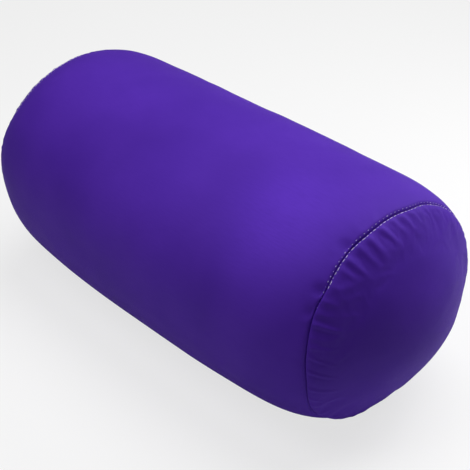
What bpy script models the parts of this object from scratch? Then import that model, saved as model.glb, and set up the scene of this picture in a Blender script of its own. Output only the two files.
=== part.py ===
"""A round yoga bolster: a filled inner casing inside a zipped cover of stretch cloth.

Metres, +Z up. X runs along the bolster, and its near end is at +X. The origin is the middle of the flat on
the underside, so the bolster lies on z = 0. The zip runs along the back, at +Y.
"""

import math

import bmesh
import bpy
from mathutils import Matrix, Vector

# The filled shape, as it lies on the floor
HALF_WIDTH = 0.089
HALF_HEIGHT = 0.0812
SEAM_REACH = 0.154  # from the middle to each end seam
CROWN = 0.030  # how far an end panel bulges past its seam
SHOULDER_DROP = 0.0080  # how far the body rounds in at an end seam
SHOULDER_POWER = 10.0
BARREL = 0.0038  # how much slimmer the sides and the top are at the end seams
UNDERSIDE_BARREL = 0.0005
END_LIFT = 0.0027  # the weight settles in the middle, so the ends lie this much higher
LOWER_POWER = 2.3  # over 2, so the lower half is fuller than an ellipse
FLOOR_CUT = 0.0005
FLAT_HALF_LENGTH = 0.050

# Cloth and clearances
CLOTH = 0.0008
LINER = 0.0006
TOUCH = 0.0003  # between pieces that lie on each other
LAYER_GAP = 0.0004  # between the cover and the casing, and the casing and its filling

# End seams
SEAM_ALLOWANCE = 0.007
SEAM_NOTCH = 0.0010
SEAM_NOTCH_WIDTH = 0.0025
THREAD = 0.0006
SEAM_THREAD_RISE = 0.00045
OVERLOCK = 0.0005
OVERLOCK_REACH = 0.0022  # how far the overlock threads reach over the two raw edges
GATHERS = 40
GATHER_DEPTH = 0.0022
GATHER_START = 0.80  # share of the end panel's radius where the gathers begin
GATHER_PUFF = 0.0008

# Inner casing
CASING_SETBACK = 0.008  # how far its end seams lie inside the cover's
CASING_CLEARANCE = 0.0024  # from the overlock threads to the casing's rim
CASING_ROUNDING_POWER = 12.0

# Zip, in its own axes: along the bolster, down across the zip, and out of the cover
CHAIN_HALF_LENGTH = 0.098
SLOT_END_ROOM = 0.006  # from each end of the chain to the slot's end
TAPE_TAIL = 0.005  # how far the tapes go on past the slot
SLOT_HALF_WIDTH = 0.0044
EDGE_HALF_GAP = 0.00015  # beyond the zip the two edges of the panel meet
TAPE_HALF_WIDTH = 0.0125
TAPE = 0.0005
CHAIN_HALF_GAP = 0.0007
COIL_WIDTH = 0.0019
COIL_HEIGHT = 0.0014
STOP_LENGTH = 0.0025
STOP_WALL = 0.0006
ZIP_HOLD = math.radians(11.0)  # the tapes don't stretch, and hold this much of the cover straight
ZIP_FADE = math.radians(32.0)
TOPSTITCH_INSET = 0.0020

# Slider and pull
SLIDER_LENGTH = 0.0105
SLIDER_WALL = 0.0009
SLIDER_PLATE = 0.0008
NECK_LENGTH = 0.0026
NECK_WIDTH = 0.0008
SLIDER_TAPER = 0.82
BRIDGE_LENGTH = 0.0062
BRIDGE_WIDTH = 0.0022
BRIDGE_BAR = 0.0010
PIVOT_ROOM = 0.0009  # from the pull's axis to the bridge, and to the plate
PULL_LENGTH = 0.024
PULL_WIDTH = 0.0056
PULL_TIP_WIDTH = 0.0072
PULL_THICKNESS = 0.0010
PULL_ARM = 0.0010

# Fineness
BODY_SIDES = 40
SHOULDER_LENGTH = 0.022  # the body rounds in most over this last stretch
CROWN_ROWS = (0.0, 0.30, 0.56, 0.78, 0.90)
DOME_ROWS = (0.0, 0.35, 0.65, 0.85)

UNDERSIDE = math.radians(270.0)
CENTRE_HEIGHT = HALF_HEIGHT - FLOOR_CUT
SHOULDER_ROW = SEAM_REACH - SHOULDER_LENGTH
SLOT_HALF_LENGTH = CHAIN_HALF_LENGTH + SLOT_END_ROOM
TAPE_HALF_LENGTH = SLOT_HALF_LENGTH + TAPE_TAIL
ZIP_SHARE = TAPE_HALF_LENGTH / SEAM_REACH
FLAT_SHARE = FLAT_HALF_LENGTH / SEAM_REACH
TAPE_TOP = -(CLOTH + TOUCH)
TAPE_UNDERSIDE = TAPE_TOP - TAPE
COIL_BOTTOM = TAPE_TOP + TOUCH
COIL_TOP = COIL_BOTTOM + COIL_HEIGHT
COIL_OUTER = CHAIN_HALF_GAP + COIL_WIDTH
SLIDER_HALF_WIDTH = COIL_OUTER + TOUCH + SLIDER_WALL
PLATE_BOTTOM = COIL_TOP + TOUCH
PLATE_TOP = PLATE_BOTTOM + SLIDER_PLATE
UNDER_PLATE_TOP = TAPE_UNDERSIDE - TOUCH
UNDER_PLATE_BOTTOM = UNDER_PLATE_TOP - SLIDER_PLATE
PIVOT_HEIGHT = PLATE_TOP + PIVOT_ROOM
SLIDER_REST = CHAIN_HALF_LENGTH - SLIDER_LENGTH / 2
CASING_INSET = CLOTH + LAYER_GAP
CASING_REACH = SEAM_REACH - CASING_SETBACK
CASING_ROUNDING = SEAM_ALLOWANCE + TOUCH + OVERLOCK + CASING_CLEARANCE - CASING_INSET
ZIP_RECESS = -UNDER_PLATE_BOTTOM + LAYER_GAP - CASING_INSET
FILLING_INSET = LINER + LAYER_GAP


def smooth(share):
    """0 to 1 with level ends."""
    share = min(max(share, 0.0), 1.0)
    return share * share * (3 - 2 * share)


def zip_hold(angle):
    """How firmly the zip holds the cover straight at this angle: 1 beside the zip, 0 away from it."""
    off = abs(math.remainder(angle, math.tau))
    return smooth((ZIP_FADE - off) / (ZIP_FADE - ZIP_HOLD))


def section(angle, inset):
    """Point (y, z) of the middle section about its centre. The lower half is a fuller curve."""
    y, z = math.cos(angle), math.sin(angle)
    power = LOWER_POWER if z < 0 else 2.0
    reach = (abs(y) ** power + abs(z) ** power) ** (-1 / power)
    return (HALF_WIDTH - inset) * y * reach, (HALF_HEIGHT - inset) * z * reach


def body_point(x, angle, inset=0.0):
    """Point of the filled body, inset towards its middle. Angle 0 is the zip, and a quarter turn is up."""
    hold = zip_hold(angle)
    share = abs(x) / SEAM_REACH
    spread = math.sqrt(share**2 * (1 - hold) + max(share, ZIP_SHARE) ** 2 * hold)
    under = max(0.0, -math.sin(angle)) ** 2
    barrel = BARREL + (UNDERSIDE_BARREL - BARREL) * under
    drop = barrel * spread**2 + SHOULDER_DROP * spread**SHOULDER_POWER
    lift = END_LIFT * (max(0.0, spread - FLAT_SHARE) / (1 - FLAT_SHARE)) ** 2
    slim = 1 - drop / HALF_WIDTH
    y, z = section(angle, inset)
    height = CENTRE_HEIGHT + lift + slim * z
    return Vector((x, slim * y, max(height, inset)))


def flat_half_angle():
    """How far round from the underside's middle the flat reaches, kept a little short of its own edge."""
    depth = 1 - FLOOR_CUT / HALF_HEIGHT
    reach = (1 - depth**LOWER_POWER) ** (1 / LOWER_POWER)
    return 0.85 * math.atan2(reach, depth)


def full_turn(sides=BODY_SIDES):
    """Angles round the bolster and back to the first, with one at each edge of the flat underside."""
    step = math.tau / sides
    angles = [step * i for i in range(sides + 1)]
    for side in (-1, 1):
        beside = round(UNDERSIDE / step) + side
        angles[beside] = UNDERSIDE + side * flat_half_angle()
    return angles


def zip_origin():
    """The middle of the zip, level with the outside of the cover."""
    return body_point(0.0, 0.0)


def angle_across(distance):
    """The angle at which the body is this far across from the zip's middle line."""
    slim = zip_origin().y / HALF_WIDTH
    return math.asin(distance / (HALF_HEIGHT * slim))


def material(name, colour, roughness, metallic=0.0):
    """A plain material for one finish."""
    made = bpy.data.materials.new(name)
    made.use_nodes = True
    shader = made.node_tree.nodes["Principled BSDF"]
    shader.inputs["Base Color"].default_value = (*colour, 1.0)
    shader.inputs["Roughness"].default_value = roughness
    shader.inputs["Metallic"].default_value = metallic
    return made


def new_collection(name):
    """A collection in the scene."""
    made = bpy.data.collections.new(name)
    bpy.context.scene.collection.children.link(made)
    return made


def empty(name, place, parent=None):
    """An empty that holds pieces at this place."""
    made = bpy.data.objects.new(name, None)
    PARTS.objects.link(made)
    made.parent = parent
    made.matrix_local = place
    return made


def add_object(name, data, finish, parent=None):
    """An object in the bolster's collection."""
    made = bpy.data.objects.new(name, data)
    PARTS.objects.link(made)
    data.materials.append(finish)
    made.parent = parent
    return made


def sheet(name, rows, columns, place, finish, thickness=0.0):
    """A grid laid on the surface place(row, column). Columns turn from +Y up, and rows go towards +X.

    Where a row shrinks to a point, or the last column meets the first, the points are merged.
    """
    mesh = bmesh.new()
    bmesh.ops.create_grid(mesh, x_segments=len(columns) - 1, y_segments=len(rows) - 1, size=1.0)
    for vertex in mesh.verts:
        column = columns[round((vertex.co.x + 1) / 2 * (len(columns) - 1))]
        row = rows[round((vertex.co.y + 1) / 2 * (len(rows) - 1))]
        vertex.co = place(row, column)
    bmesh.ops.remove_doubles(mesh, verts=mesh.verts, dist=1e-6)
    data = bpy.data.meshes.new(name)
    mesh.to_mesh(data)
    mesh.free()
    data.shade_smooth()
    made = add_object(name, data, finish)
    if thickness:
        wall = made.modifiers.new("cloth", "SOLIDIFY")
        wall.thickness = thickness
    return made


def thread(name, points, finish, closed=True):
    """A thread along the points."""
    curve = bpy.data.curves.new(name, "CURVE")
    curve.dimensions = "3D"
    curve.bevel_depth = THREAD / 2
    curve.bevel_resolution = 1
    curve.use_fill_caps = not closed
    spline = curve.splines.new("POLY")
    spline.points.add(len(points) - 1)
    for target, point in zip(spline.points, points):
        target.co = (*point, 1.0)
    spline.use_cyclic_u = closed
    return add_object(name, curve, finish)


def block(name, low, high, finish, parent, bevel=0.0):
    """A box between two corners, with rounded edges."""
    low, high = Vector(low), Vector(high)
    mesh = bmesh.new()
    bmesh.ops.create_cube(mesh, size=1.0)
    bmesh.ops.scale(mesh, verts=mesh.verts, vec=high - low)
    bmesh.ops.translate(mesh, verts=mesh.verts, vec=(low + high) / 2)
    data = bpy.data.meshes.new(name)
    mesh.to_mesh(data)
    mesh.free()
    made = add_object(name, data, finish, parent)
    if bevel:
        edge = made.modifiers.new("rounded edges", "BEVEL")
        edge.width = bevel
        edge.segments = 2
    return made


def flat_outline(name, outlines, thickness, finish, parent):
    """A flat piece with this outline and these holes. Half its thickness lies on each side of the outline."""
    curve = bpy.data.curves.new(name, "CURVE")
    curve.dimensions = "2D"
    curve.fill_mode = "BOTH"
    curve.extrude = thickness / 2
    for outline in outlines:
        spline = curve.splines.new("POLY")
        spline.points.add(len(outline) - 1)
        for target, point in zip(spline.points, outline):
            target.co = (*point, 0.0, 1.0)
        spline.use_cyclic_u = True
    return add_object(name, curve, finish, parent)


def as_mesh(made):
    """A curve object made a mesh with its caps joined, in the same place."""
    bpy.context.view_layer.update()
    graph = bpy.context.evaluated_depsgraph_get()
    data = bpy.data.meshes.new_from_object(made.evaluated_get(graph))
    mesh = bmesh.new()
    mesh.from_mesh(data)
    bmesh.ops.remove_doubles(mesh, verts=mesh.verts, dist=1e-6)
    mesh.to_mesh(data)
    mesh.free()
    name, parent, place = made.name, made.parent, made.matrix_world.copy()
    bpy.data.objects.remove(made)
    turned = bpy.data.objects.new(name, data)
    PARTS.objects.link(turned)
    turned.parent = parent
    turned.matrix_world = place
    return turned


def join(base, others):
    """Boolean unions of the other pieces into the base."""
    for other in others:
        PARTS.objects.unlink(other)
        HELPERS.objects.link(other)
        other.hide_render = True
        other.display_type = "WIRE"
        union = base.modifiers.new("join " + other.name, "BOOLEAN")
        union.operation = "UNION"
        union.object = other


def slot_half_width(x):
    """Half the gap between the two long edges of the body panel: open at the zip, closed beyond it."""
    if abs(x) > (SLOT_HALF_LENGTH + TAPE_HALF_LENGTH) / 2:
        return EDGE_HALF_GAP
    return SLOT_HALF_WIDTH


def cover_body():
    """The body panel: one rectangle of cloth rolled round, with its ends turned in at the end seams."""
    half = [
        (FLAT_HALF_LENGTH, 0.0),
        (SLOT_HALF_LENGTH, 0.0),
        (TAPE_HALF_LENGTH, 0.0),
        (SHOULDER_ROW, 0.0),
        (SEAM_REACH - SEAM_NOTCH_WIDTH, 0.0),
        (SEAM_REACH, SEAM_NOTCH),
        (SEAM_REACH, SEAM_ALLOWANCE),
    ]
    rows = [(-x, inset) for x, inset in reversed(half)] + half
    over_tape = angle_across((SLOT_HALF_WIDTH + TAPE_HALF_WIDTH) / 2)
    inner = [over_tape, *full_turn()[1:-1], math.tau - over_tape]
    columns = ["upper edge", *inner, "lower edge"]

    def place(row, column):
        x, inset = row
        edge = angle_across(slot_half_width(x))
        angle = {"upper edge": edge, "lower edge": math.tau - edge}.get(column, column)
        return body_point(x, angle, inset)

    sheet("cover_body_panel", rows, columns, place, PURPLE_CLOTH, CLOTH)


def crown_point(side, share, angle, start, height, inset):
    """Point of a domed end that starts at this distance along the body and bulges by this height."""
    rim = body_point(start, angle, inset)
    centre = Vector((start, 0.0, CENTRE_HEIGHT + END_LIFT))
    point = centre.lerp(rim, share)
    point.x = side * (start + height * (1 - share**2))
    return point


def cover_end(name, side):
    """An end panel: a crowned disc, gathered where it is sewn to the body, with its rim turned in."""
    notch = 1 - SEAM_NOTCH_WIDTH / (HALF_WIDTH - SHOULDER_DROP - BARREL)
    rows = [(share, 0.0) for share in (*CROWN_ROWS, notch)]
    rows += [(1.0, SEAM_NOTCH), (1.0, SEAM_ALLOWANCE)]
    if side > 0:
        rows.reverse()
    sides = 2 * GATHERS

    def place(row, column):
        share, inset = row
        angle = math.tau * column / sides
        if inset:
            point = body_point(SEAM_REACH, angle, inset)
            point.x = side * (SEAM_REACH + TOUCH)
            return point
        point = crown_point(side, share, angle, SEAM_REACH + TOUCH, CROWN, 0.0)
        slope = 2 * CROWN * share / HALF_WIDTH
        outwards = Vector((side, slope * math.cos(angle), slope * math.sin(angle))).normalized()
        uneven = 0.75 + 0.25 * math.sin(2.4 * (column // 2)) * math.cos(0.7 * column)
        fold = uneven * GATHER_DEPTH * (0.5 if column % 2 else -0.5)
        window = smooth((share - GATHER_START) / (notch - GATHER_START))
        return point + outwards * window * (GATHER_PUFF + fold)

    sheet(name, rows, range(sides + 1), place, PURPLE_CLOTH, CLOTH)


def ring_points(side, x, reach, inset):
    """Points round the bolster at this x, inset from the body's outside where it is this far along."""
    points = []
    for angle in full_turn()[:-1]:
        point = body_point(reach, angle, inset(angle))
        point.x = side * x
        points.append(point)
    return points


def end_seam(end, side):
    """The seam thread in the notch between body and end panel, and the overlock round their raw edges."""
    middle = SEAM_REACH + TOUCH / 2
    rise = THREAD / 2 + SEAM_THREAD_RISE
    ring = ring_points(side, middle, SEAM_REACH, lambda angle: SEAM_NOTCH - rise)
    thread(end + "_end_seam_thread", ring, LILAC_THREAD)

    inner = TOUCH / 2 + CLOTH + TOUCH
    outer = inner + OVERLOCK
    edge = SEAM_ALLOWANCE + TOUCH
    top = SEAM_ALLOWANCE - OVERLOCK_REACH
    profile = [
        (-outer, top),
        (-inner, top),
        (-inner, edge),
        (inner, edge),
        (inner, top),
        (outer, top),
        (outer, edge + OVERLOCK),
        (-outer, edge + OVERLOCK),
        (-outer, top),
    ]

    def place(row, column):
        off, inset = row
        point = body_point(SEAM_REACH, column, inset)
        point.x = side * middle + off
        return point

    sheet(end + "_end_overlock", profile, full_turn(), place, LILAC_THREAD)


def casing_inset(x, angle):
    """How far inside the cover's outside the casing lies: pressed in by the zip, and rounder at its ends."""
    rounding = CASING_ROUNDING * (abs(x) / CASING_REACH) ** CASING_ROUNDING_POWER
    return CASING_INSET + rounding + ZIP_RECESS * zip_hold(angle)


def casing_rows():
    """Distances along the casing's tube, closer together where it rounds in."""
    half = [FLAT_HALF_LENGTH, TAPE_HALF_LENGTH, SHOULDER_ROW, CASING_REACH]
    return [-x for x in reversed(half)] + half


def inner_casing():
    """The liner that holds the beads: a tube and two domed ends."""

    def tube(x, angle):
        return body_point(x, angle, casing_inset(x, angle))

    sheet("inner_casing_tube", casing_rows(), full_turn(), tube, WHITE_LINER, LINER)
    start = CASING_REACH + TOUCH
    height = SEAM_REACH + TOUCH + CROWN - CLOTH - LAYER_GAP - start

    def rim_inset(angle):
        return casing_inset(CASING_REACH, angle)

    for end, side in (("near", 1), ("far", -1)):

        def dome(share, angle, side=side):
            point = crown_point(side, share, angle, CASING_REACH, height, rim_inset(angle))
            point.x += side * TOUCH
            return point

        rows = (*DOME_ROWS, 1.0)[::-side]
        sheet(end + "_inner_casing_end", rows, full_turn(), dome, WHITE_LINER, LINER)
        joint = CASING_REACH + TOUCH / 2
        outside = THREAD / 2 + TOUCH
        ring = ring_points(side, joint, CASING_REACH, lambda angle: rim_inset(angle) - outside)
        thread(end + "_casing_seam_thread", ring, WHITE_THREAD)


def filling():
    """The bead filling, as one solid that fills the casing."""
    height = SEAM_REACH + TOUCH + CROWN - CLOTH - LAYER_GAP - FILLING_INSET - CASING_REACH
    rows = [("far", share) for share in DOME_ROWS]
    rows += [("tube", x) for x in casing_rows()]
    rows += [("near", share) for share in reversed(DOME_ROWS)]

    def place(row, angle):
        where, value = row
        if where == "tube":
            return body_point(value, angle, casing_inset(value, angle) + FILLING_INSET)
        inset = casing_inset(CASING_REACH, angle) + FILLING_INSET
        return crown_point(1 if where == "near" else -1, value, angle, CASING_REACH, height, inset)

    sheet("bead_filling", rows, full_turn(), place, WHITE_BEADS)


def zip_tapes():
    """The two woven tapes, under the edges of the cover."""
    across = [CHAIN_HALF_GAP, SLOT_HALF_WIDTH, TAPE_HALF_WIDTH]
    ends = [-TAPE_HALF_LENGTH, TAPE_HALF_LENGTH]
    for name, side in (("zip_tape_upper", 1), ("zip_tape_lower", -1)):
        columns = [side * angle_across(distance) for distance in across[::side]]

        def place(x, angle):
            return body_point(x, angle, -TAPE_TOP)

        sheet(name, ends, columns, place, PURPLE_TAPE, TAPE)


def zip_chain(frame):
    """The two coil rows on the tapes' inner edges, and the stops at both ends of them."""
    rounding = COIL_HEIGHT / 4
    start = CHAIN_HALF_LENGTH + TOUCH
    for name, side in (("upper", -1), ("lower", 1)):
        near, far = sorted((side * CHAIN_HALF_GAP, side * COIL_OUTER))
        low = (-CHAIN_HALF_LENGTH, near, COIL_BOTTOM)
        high = (CHAIN_HALF_LENGTH, far, COIL_TOP)
        block("zip_coil_" + name, low, high, PURPLE_NYLON, frame, rounding)
        stop_clamp("zip_top_stop_" + name, side, start, frame)
    low = (-start - STOP_LENGTH, -COIL_OUTER, COIL_BOTTOM)
    high = (-start, COIL_OUTER, COIL_TOP)
    block("zip_bottom_stop", low, high, NICKEL, frame, rounding)


def stop_clamp(name, side, start, frame):
    """A top stop: a strip of metal bent round the inner edge of one tape."""
    above = COIL_BOTTOM
    below = UNDER_PLATE_TOP
    inner = CHAIN_HALF_GAP - TOUCH
    outline = [
        (inner - STOP_WALL / 2, above + 2 * STOP_WALL),
        (inner - STOP_WALL / 2, below - STOP_WALL),
        (COIL_OUTER, below - STOP_WALL),
        (COIL_OUTER, below),
        (inner, below),
        (inner, above),
        (COIL_OUTER, above),
        (COIL_OUTER, above + 2 * STOP_WALL),
    ]
    outline = [(side * across, height) for across, height in outline]
    made = flat_outline(name, [outline], STOP_LENGTH, NICKEL, frame)
    # The outline is turned to lie across the zip
    turn = Matrix(((0, 0, 1), (1, 0, 0), (0, 1, 0))).to_4x4()
    made.matrix_local = Matrix.Translation((start + STOP_LENGTH / 2, 0, 0)) @ turn


def slider_plate(name, low, high, frame):
    """A slider plate between two heights, narrower towards the closed chain."""
    reach = SLIDER_LENGTH / 2
    waist = SLIDER_HALF_WIDTH * SLIDER_TAPER
    half = [
        (reach, SLIDER_HALF_WIDTH * 0.72),
        (reach * 0.55, SLIDER_HALF_WIDTH),
        (-reach * 0.1, SLIDER_HALF_WIDTH),
        (-reach * 0.85, waist),
        (-reach, waist * 0.85),
    ]
    outline = half + [(x, -y) for x, y in reversed(half)]
    made = flat_outline(name, [outline], high - low, NICKEL, frame)
    made.location.z = (low + high) / 2
    return as_mesh(made)


def slider(frame):
    """The slider body: two plates joined by the neck, side walls round the coils, and the bridge."""
    body = slider_plate("zip_slider_body", PLATE_BOTTOM, PLATE_TOP, frame)
    reach = SLIDER_LENGTH / 2
    bite = SLIDER_PLATE / 2
    pieces = [slider_plate("slider under plate", UNDER_PLATE_BOTTOM, UNDER_PLATE_TOP, frame)]
    for side in (1, -1):
        inner, outer = COIL_OUTER + TOUCH, SLIDER_HALF_WIDTH - TOUCH / 3
        near, far = sorted((side * inner, side * outer))
        low = (-reach * 0.05, near, COIL_BOTTOM)
        high = (reach * 0.5, far, PLATE_BOTTOM + bite)
        pieces.append(block("slider wall", low, high, NICKEL, frame))
    neck_end = reach - SLIDER_WALL
    low = (neck_end - NECK_LENGTH, -NECK_WIDTH / 2, UNDER_PLATE_TOP - bite)
    high = (neck_end, NECK_WIDTH / 2, PLATE_BOTTOM + bite)
    pieces.append(block("slider neck", low, high, NICKEL, frame))
    pieces.append(bridge(frame))
    join(body, pieces)


def bridge(frame):
    """The arch on the top plate that the pull hangs in."""
    legs = BRIDGE_LENGTH / 2
    under = PIVOT_HEIGHT + PIVOT_ROOM
    top = under + BRIDGE_BAR
    foot = PLATE_TOP - SLIDER_PLATE / 2
    soft = BRIDGE_BAR * 0.6
    outline = [
        (-legs, foot),
        (-legs, top - soft),
        (-legs + soft, top),
        (legs - soft, top),
        (legs, top - soft),
        (legs, foot),
        (legs - BRIDGE_BAR, foot),
        (legs - BRIDGE_BAR, under),
        (-legs + BRIDGE_BAR, under),
        (-legs + BRIDGE_BAR, foot),
    ]
    made = flat_outline("slider bridge", [outline], BRIDGE_WIDTH, NICKEL, frame)
    # The outline is turned to stand along the zip
    made.matrix_local = Matrix.Rotation(math.pi / 2, 4, "X")
    return as_mesh(made)


def pull(frame):
    """The pull tab. Its origin is on the axis it swings about, and it lies back along the closed chain."""
    bar = PULL_THICKNESS / 2
    eye = math.hypot(BRIDGE_LENGTH / 2, PIVOT_ROOM + BRIDGE_BAR) + TOUCH
    arm = PULL_WIDTH / 2
    tip = PULL_TIP_WIDTH / 2
    half = [
        (bar, arm * 0.8),
        (0, arm),
        (-eye - PULL_ARM, arm),
        (-eye - 3 * PULL_ARM, arm * 0.7),
        (-PULL_LENGTH + tip, tip),
        (-PULL_LENGTH + tip * 0.4, tip * 0.8),
        (-PULL_LENGTH, tip * 0.3),
    ]
    outer = half + [(x, -y) for x, y in reversed(half)]
    hole = arm - PULL_ARM
    inner = [(-bar, hole), (-bar, -hole), (-eye, -hole), (-eye, hole)]
    made = flat_outline("zip_pull_tab", [outer, inner], PULL_THICKNESS, NICKEL, frame)
    made.location.z = PIVOT_HEIGHT


def beside_zip(x_list, across, side):
    """Points for a thread on the outside of the cover, along a line beside the zip."""
    angle = side * angle_across(across)
    return [body_point(x, angle, -(TOUCH + THREAD / 2)) for x in x_list]


def zip_threads():
    """The topstitching round the zip, and the seams that close the panel's edges beyond it."""
    across = SLOT_HALF_WIDTH + TOPSTITCH_INSET
    reach = TAPE_HALF_LENGTH
    box = beside_zip([-reach, reach], across, 1)
    box += beside_zip([reach], EDGE_HALF_GAP, 1)
    box += beside_zip([reach, -reach], across, -1)
    box += beside_zip([-reach], EDGE_HALF_GAP, 1)
    thread("zip_topstitching", box, LILAC_THREAD)
    start = reach + 2 * THREAD
    end = SEAM_REACH - SEAM_NOTCH_WIDTH
    for name, side in (("near_side_seam_thread", 1), ("far_side_seam_thread", -1)):
        line = [side * x for x in (start, (start + SHOULDER_ROW) / 2, SHOULDER_ROW, end)]
        thread(name, beside_zip(line, 0.0, 1), LILAC_THREAD, closed=False)


for found in list(bpy.data.objects):
    bpy.data.objects.remove(found)

PARTS = new_collection("yoga bolster")
HELPERS = new_collection("joined shapes")
HELPERS.hide_render = True

PURPLE_CLOTH = material("purple stretch cloth", (0.075, 0.020, 0.330), 0.75)
LILAC_THREAD = material("pale lilac thread", (0.500, 0.420, 0.700), 0.6)
PURPLE_TAPE = material("purple zip tape", (0.060, 0.016, 0.280), 0.8)
PURPLE_NYLON = material("purple nylon coil", (0.070, 0.020, 0.300), 0.4)
NICKEL = material("nickel plate", (0.60, 0.58, 0.55), 0.25, 1.0)
WHITE_LINER = material("white liner cloth", (0.80, 0.80, 0.78), 0.85)
WHITE_THREAD = material("white thread", (0.82, 0.82, 0.80), 0.6)
WHITE_BEADS = material("polystyrene beads", (0.90, 0.90, 0.89), 0.7)

# The zip's own axes: X along the bolster, Y down across the zip, Z out of the cover
out_of_cover = Matrix.Rotation(-math.pi / 2, 4, "X")
zip_frame = empty("zip frame", Matrix.Translation(zip_origin()) @ out_of_cover)
slider_frame = empty("slider frame", Matrix.Translation((SLIDER_REST, 0, 0)), zip_frame)

cover_body()
cover_end("cover_end_panel_near", 1)
cover_end("cover_end_panel_far", -1)
end_seam("near", 1)
end_seam("far", -1)
inner_casing()
filling()
zip_tapes()
zip_chain(zip_frame)
zip_threads()
slider(slider_frame)
pull(slider_frame)
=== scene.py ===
"""A round yoga bolster in a purple stretch-knit cover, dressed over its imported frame.

Metres, +Z up. X runs along the bolster, and its near end is at +X. The zip runs along the back, at +Y. The
bolster lies on z = 0. Angles go round the bolster from the zip: a quarter turn is up, and half a turn is the
front.
"""

import logging
import math
from bisect import bisect_right
from collections.abc import Callable, Sequence
from dataclasses import dataclass
from enum import Enum

import bmesh
import bpy
from mathutils import Matrix, Vector, noise

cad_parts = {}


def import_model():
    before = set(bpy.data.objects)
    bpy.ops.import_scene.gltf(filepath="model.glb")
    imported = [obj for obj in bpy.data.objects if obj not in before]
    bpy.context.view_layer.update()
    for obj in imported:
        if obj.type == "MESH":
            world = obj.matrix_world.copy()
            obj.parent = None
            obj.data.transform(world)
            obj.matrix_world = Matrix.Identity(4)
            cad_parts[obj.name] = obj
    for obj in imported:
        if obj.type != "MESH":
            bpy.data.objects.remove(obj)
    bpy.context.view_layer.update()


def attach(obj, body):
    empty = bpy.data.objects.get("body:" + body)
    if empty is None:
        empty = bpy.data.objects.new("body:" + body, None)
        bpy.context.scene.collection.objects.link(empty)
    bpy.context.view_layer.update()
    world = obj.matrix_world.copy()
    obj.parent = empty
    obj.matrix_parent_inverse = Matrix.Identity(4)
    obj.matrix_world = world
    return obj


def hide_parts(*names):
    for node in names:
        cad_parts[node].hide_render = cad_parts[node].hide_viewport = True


LOG = logging.getLogger("bolster")
CLOTH_MAP = "cloth"  # the UV map that holds each piece of cloth laid flat, in metres
TOUCH = 0.0003  # between pieces that lie on each other
PIXELS = 470  # the picture's width
CRISP = math.radians(50)  # a metal edge that turns by more than this stays crisp
WHITE = (1.0, 1.0, 1.0, 1.0)

Colour = tuple[float, float, float]
Triple = tuple[float, float, float]  # along X, Y and Z
Place = Callable[..., Vector]
Line = Sequence[tuple[Vector, Vector]]  # points, each with the direction out of the cloth


class Body(Enum):
    """What a piece moves with."""

    CUSHION = "cushion"
    SLIDER = "zip_slider"
    PULL = "zip_pull"


class End(Enum):
    """The two ends of the bolster, as the sign of X there."""

    NEAR = 1
    FAR = -1

    @property
    def label(self) -> str:
        """The end's name in the names of pieces."""
        return self.name.lower()


class Side(Enum):
    """The two sides of the zip, as the sign of the distance down across it."""

    UPPER = -1
    LOWER = 1

    @property
    def label(self) -> str:
        """The side's name in the names of pieces."""
        return self.name.lower()


def smooth(share: float) -> float:
    """0 to 1 with level ends."""
    share = min(max(share, 0.0), 1.0)
    return share * share * (3 - 2 * share)


def blend(start: float, end: float, share: float) -> float:
    """The value at this share of the way from start to end."""
    return start + (end - start) * share


def steps(start: float, end: float, count: int) -> list[float]:
    """Evenly spaced values from start up to, and not including, end."""
    return [blend(start, end, i / count) for i in range(count)]


def steps_to(start: float, end: float, count: int) -> list[float]:
    """The same values, and then end itself."""
    return [*steps(start, end, count), end]


def both_ways(half: list[float]) -> list[float]:
    """Rising values above 0, with 0 and the same below 0 before them."""
    return [-x for x in reversed(half)] + [0.0] + half


def once_round(count: int) -> list[float]:
    """Evenly spaced angles, from 0 up to and including a full turn."""
    return steps_to(0.0, math.tau, count)


def hump(off: float, width: float) -> float:
    """1 in the middle of a soft hump, and almost 0 from twice its width on."""
    return math.exp(-((off / width) ** 2))


def swell(most: float, distance: float, fullest: float, reach: float) -> float:
    """How far filled cloth stands out near the seam that holds it.

    Args:
        most: How far it stands out at its fullest.
        distance: The distance from the seam.
        fullest: Where it is at its fullest.
        reach: How much further on it is level again.

    Returns:
        The rise at this distance.
    """
    return most * smooth(distance / fullest) * smooth(1 - (distance - fullest) / reach)


# Shader nodes


class Field:
    """A number that varies over a surface: a node's output, with arithmetic that adds Math nodes."""

    def __init__(self, graph: "Graph", socket: bpy.types.NodeSocket) -> None:
        """Wraps one output socket of a graph."""
        self.graph = graph
        self.socket = socket

    def maths(self, operation: str, *values: "Field | float") -> "Field":
        """Adds one Math node.

        Args:
            operation: The node's operation.
            values: Its inputs, in order.

        Returns:
            The node's result.
        """
        made = self.graph.node("ShaderNodeMath", {"operation": operation}, dict(enumerate(values)))
        return Field(self.graph, made.outputs[0])

    def __add__(self, other: "Field | float") -> "Field":
        """self + other"""
        return self.maths("ADD", self, other)

    __radd__ = __add__

    def __sub__(self, other: "Field | float") -> "Field":
        """self - other"""
        return self.maths("SUBTRACT", self, other)

    def __rsub__(self, other: "Field | float") -> "Field":
        """other - self"""
        return self.maths("SUBTRACT", other, self)

    def __mul__(self, other: "Field | float") -> "Field":
        """self * other"""
        return self.maths("MULTIPLY", self, other)

    def __truediv__(self, other: "Field | float") -> "Field":
        """self / other"""
        return self.maths("DIVIDE", self, other)

    def __abs__(self) -> "Field":
        """The size of the value, without its sign."""
        return self.maths("ABSOLUTE", self)

    def sine(self) -> "Field":
        """The sine of the value in radians."""
        return self.maths("SINE", self)

    def fraction(self) -> "Field":
        """What is past the whole number below."""
        return self.maths("FRACT", self)

    def saw(self) -> "Field":
        """1 at each whole number, and 0 halfway between two."""
        return abs(self.fraction() * 2 - 1)

    def between(self, low: float, high: float) -> "Field":
        """0 below low and 1 above high, smooth between them."""
        made = self.graph.node(
            "ShaderNodeMapRange",
            {"interpolation_type": "SMOOTHSTEP"},
            {"Value": self, "From Min": low, "From Max": high},
        )
        return Field(self.graph, made.outputs["Result"])


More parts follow.
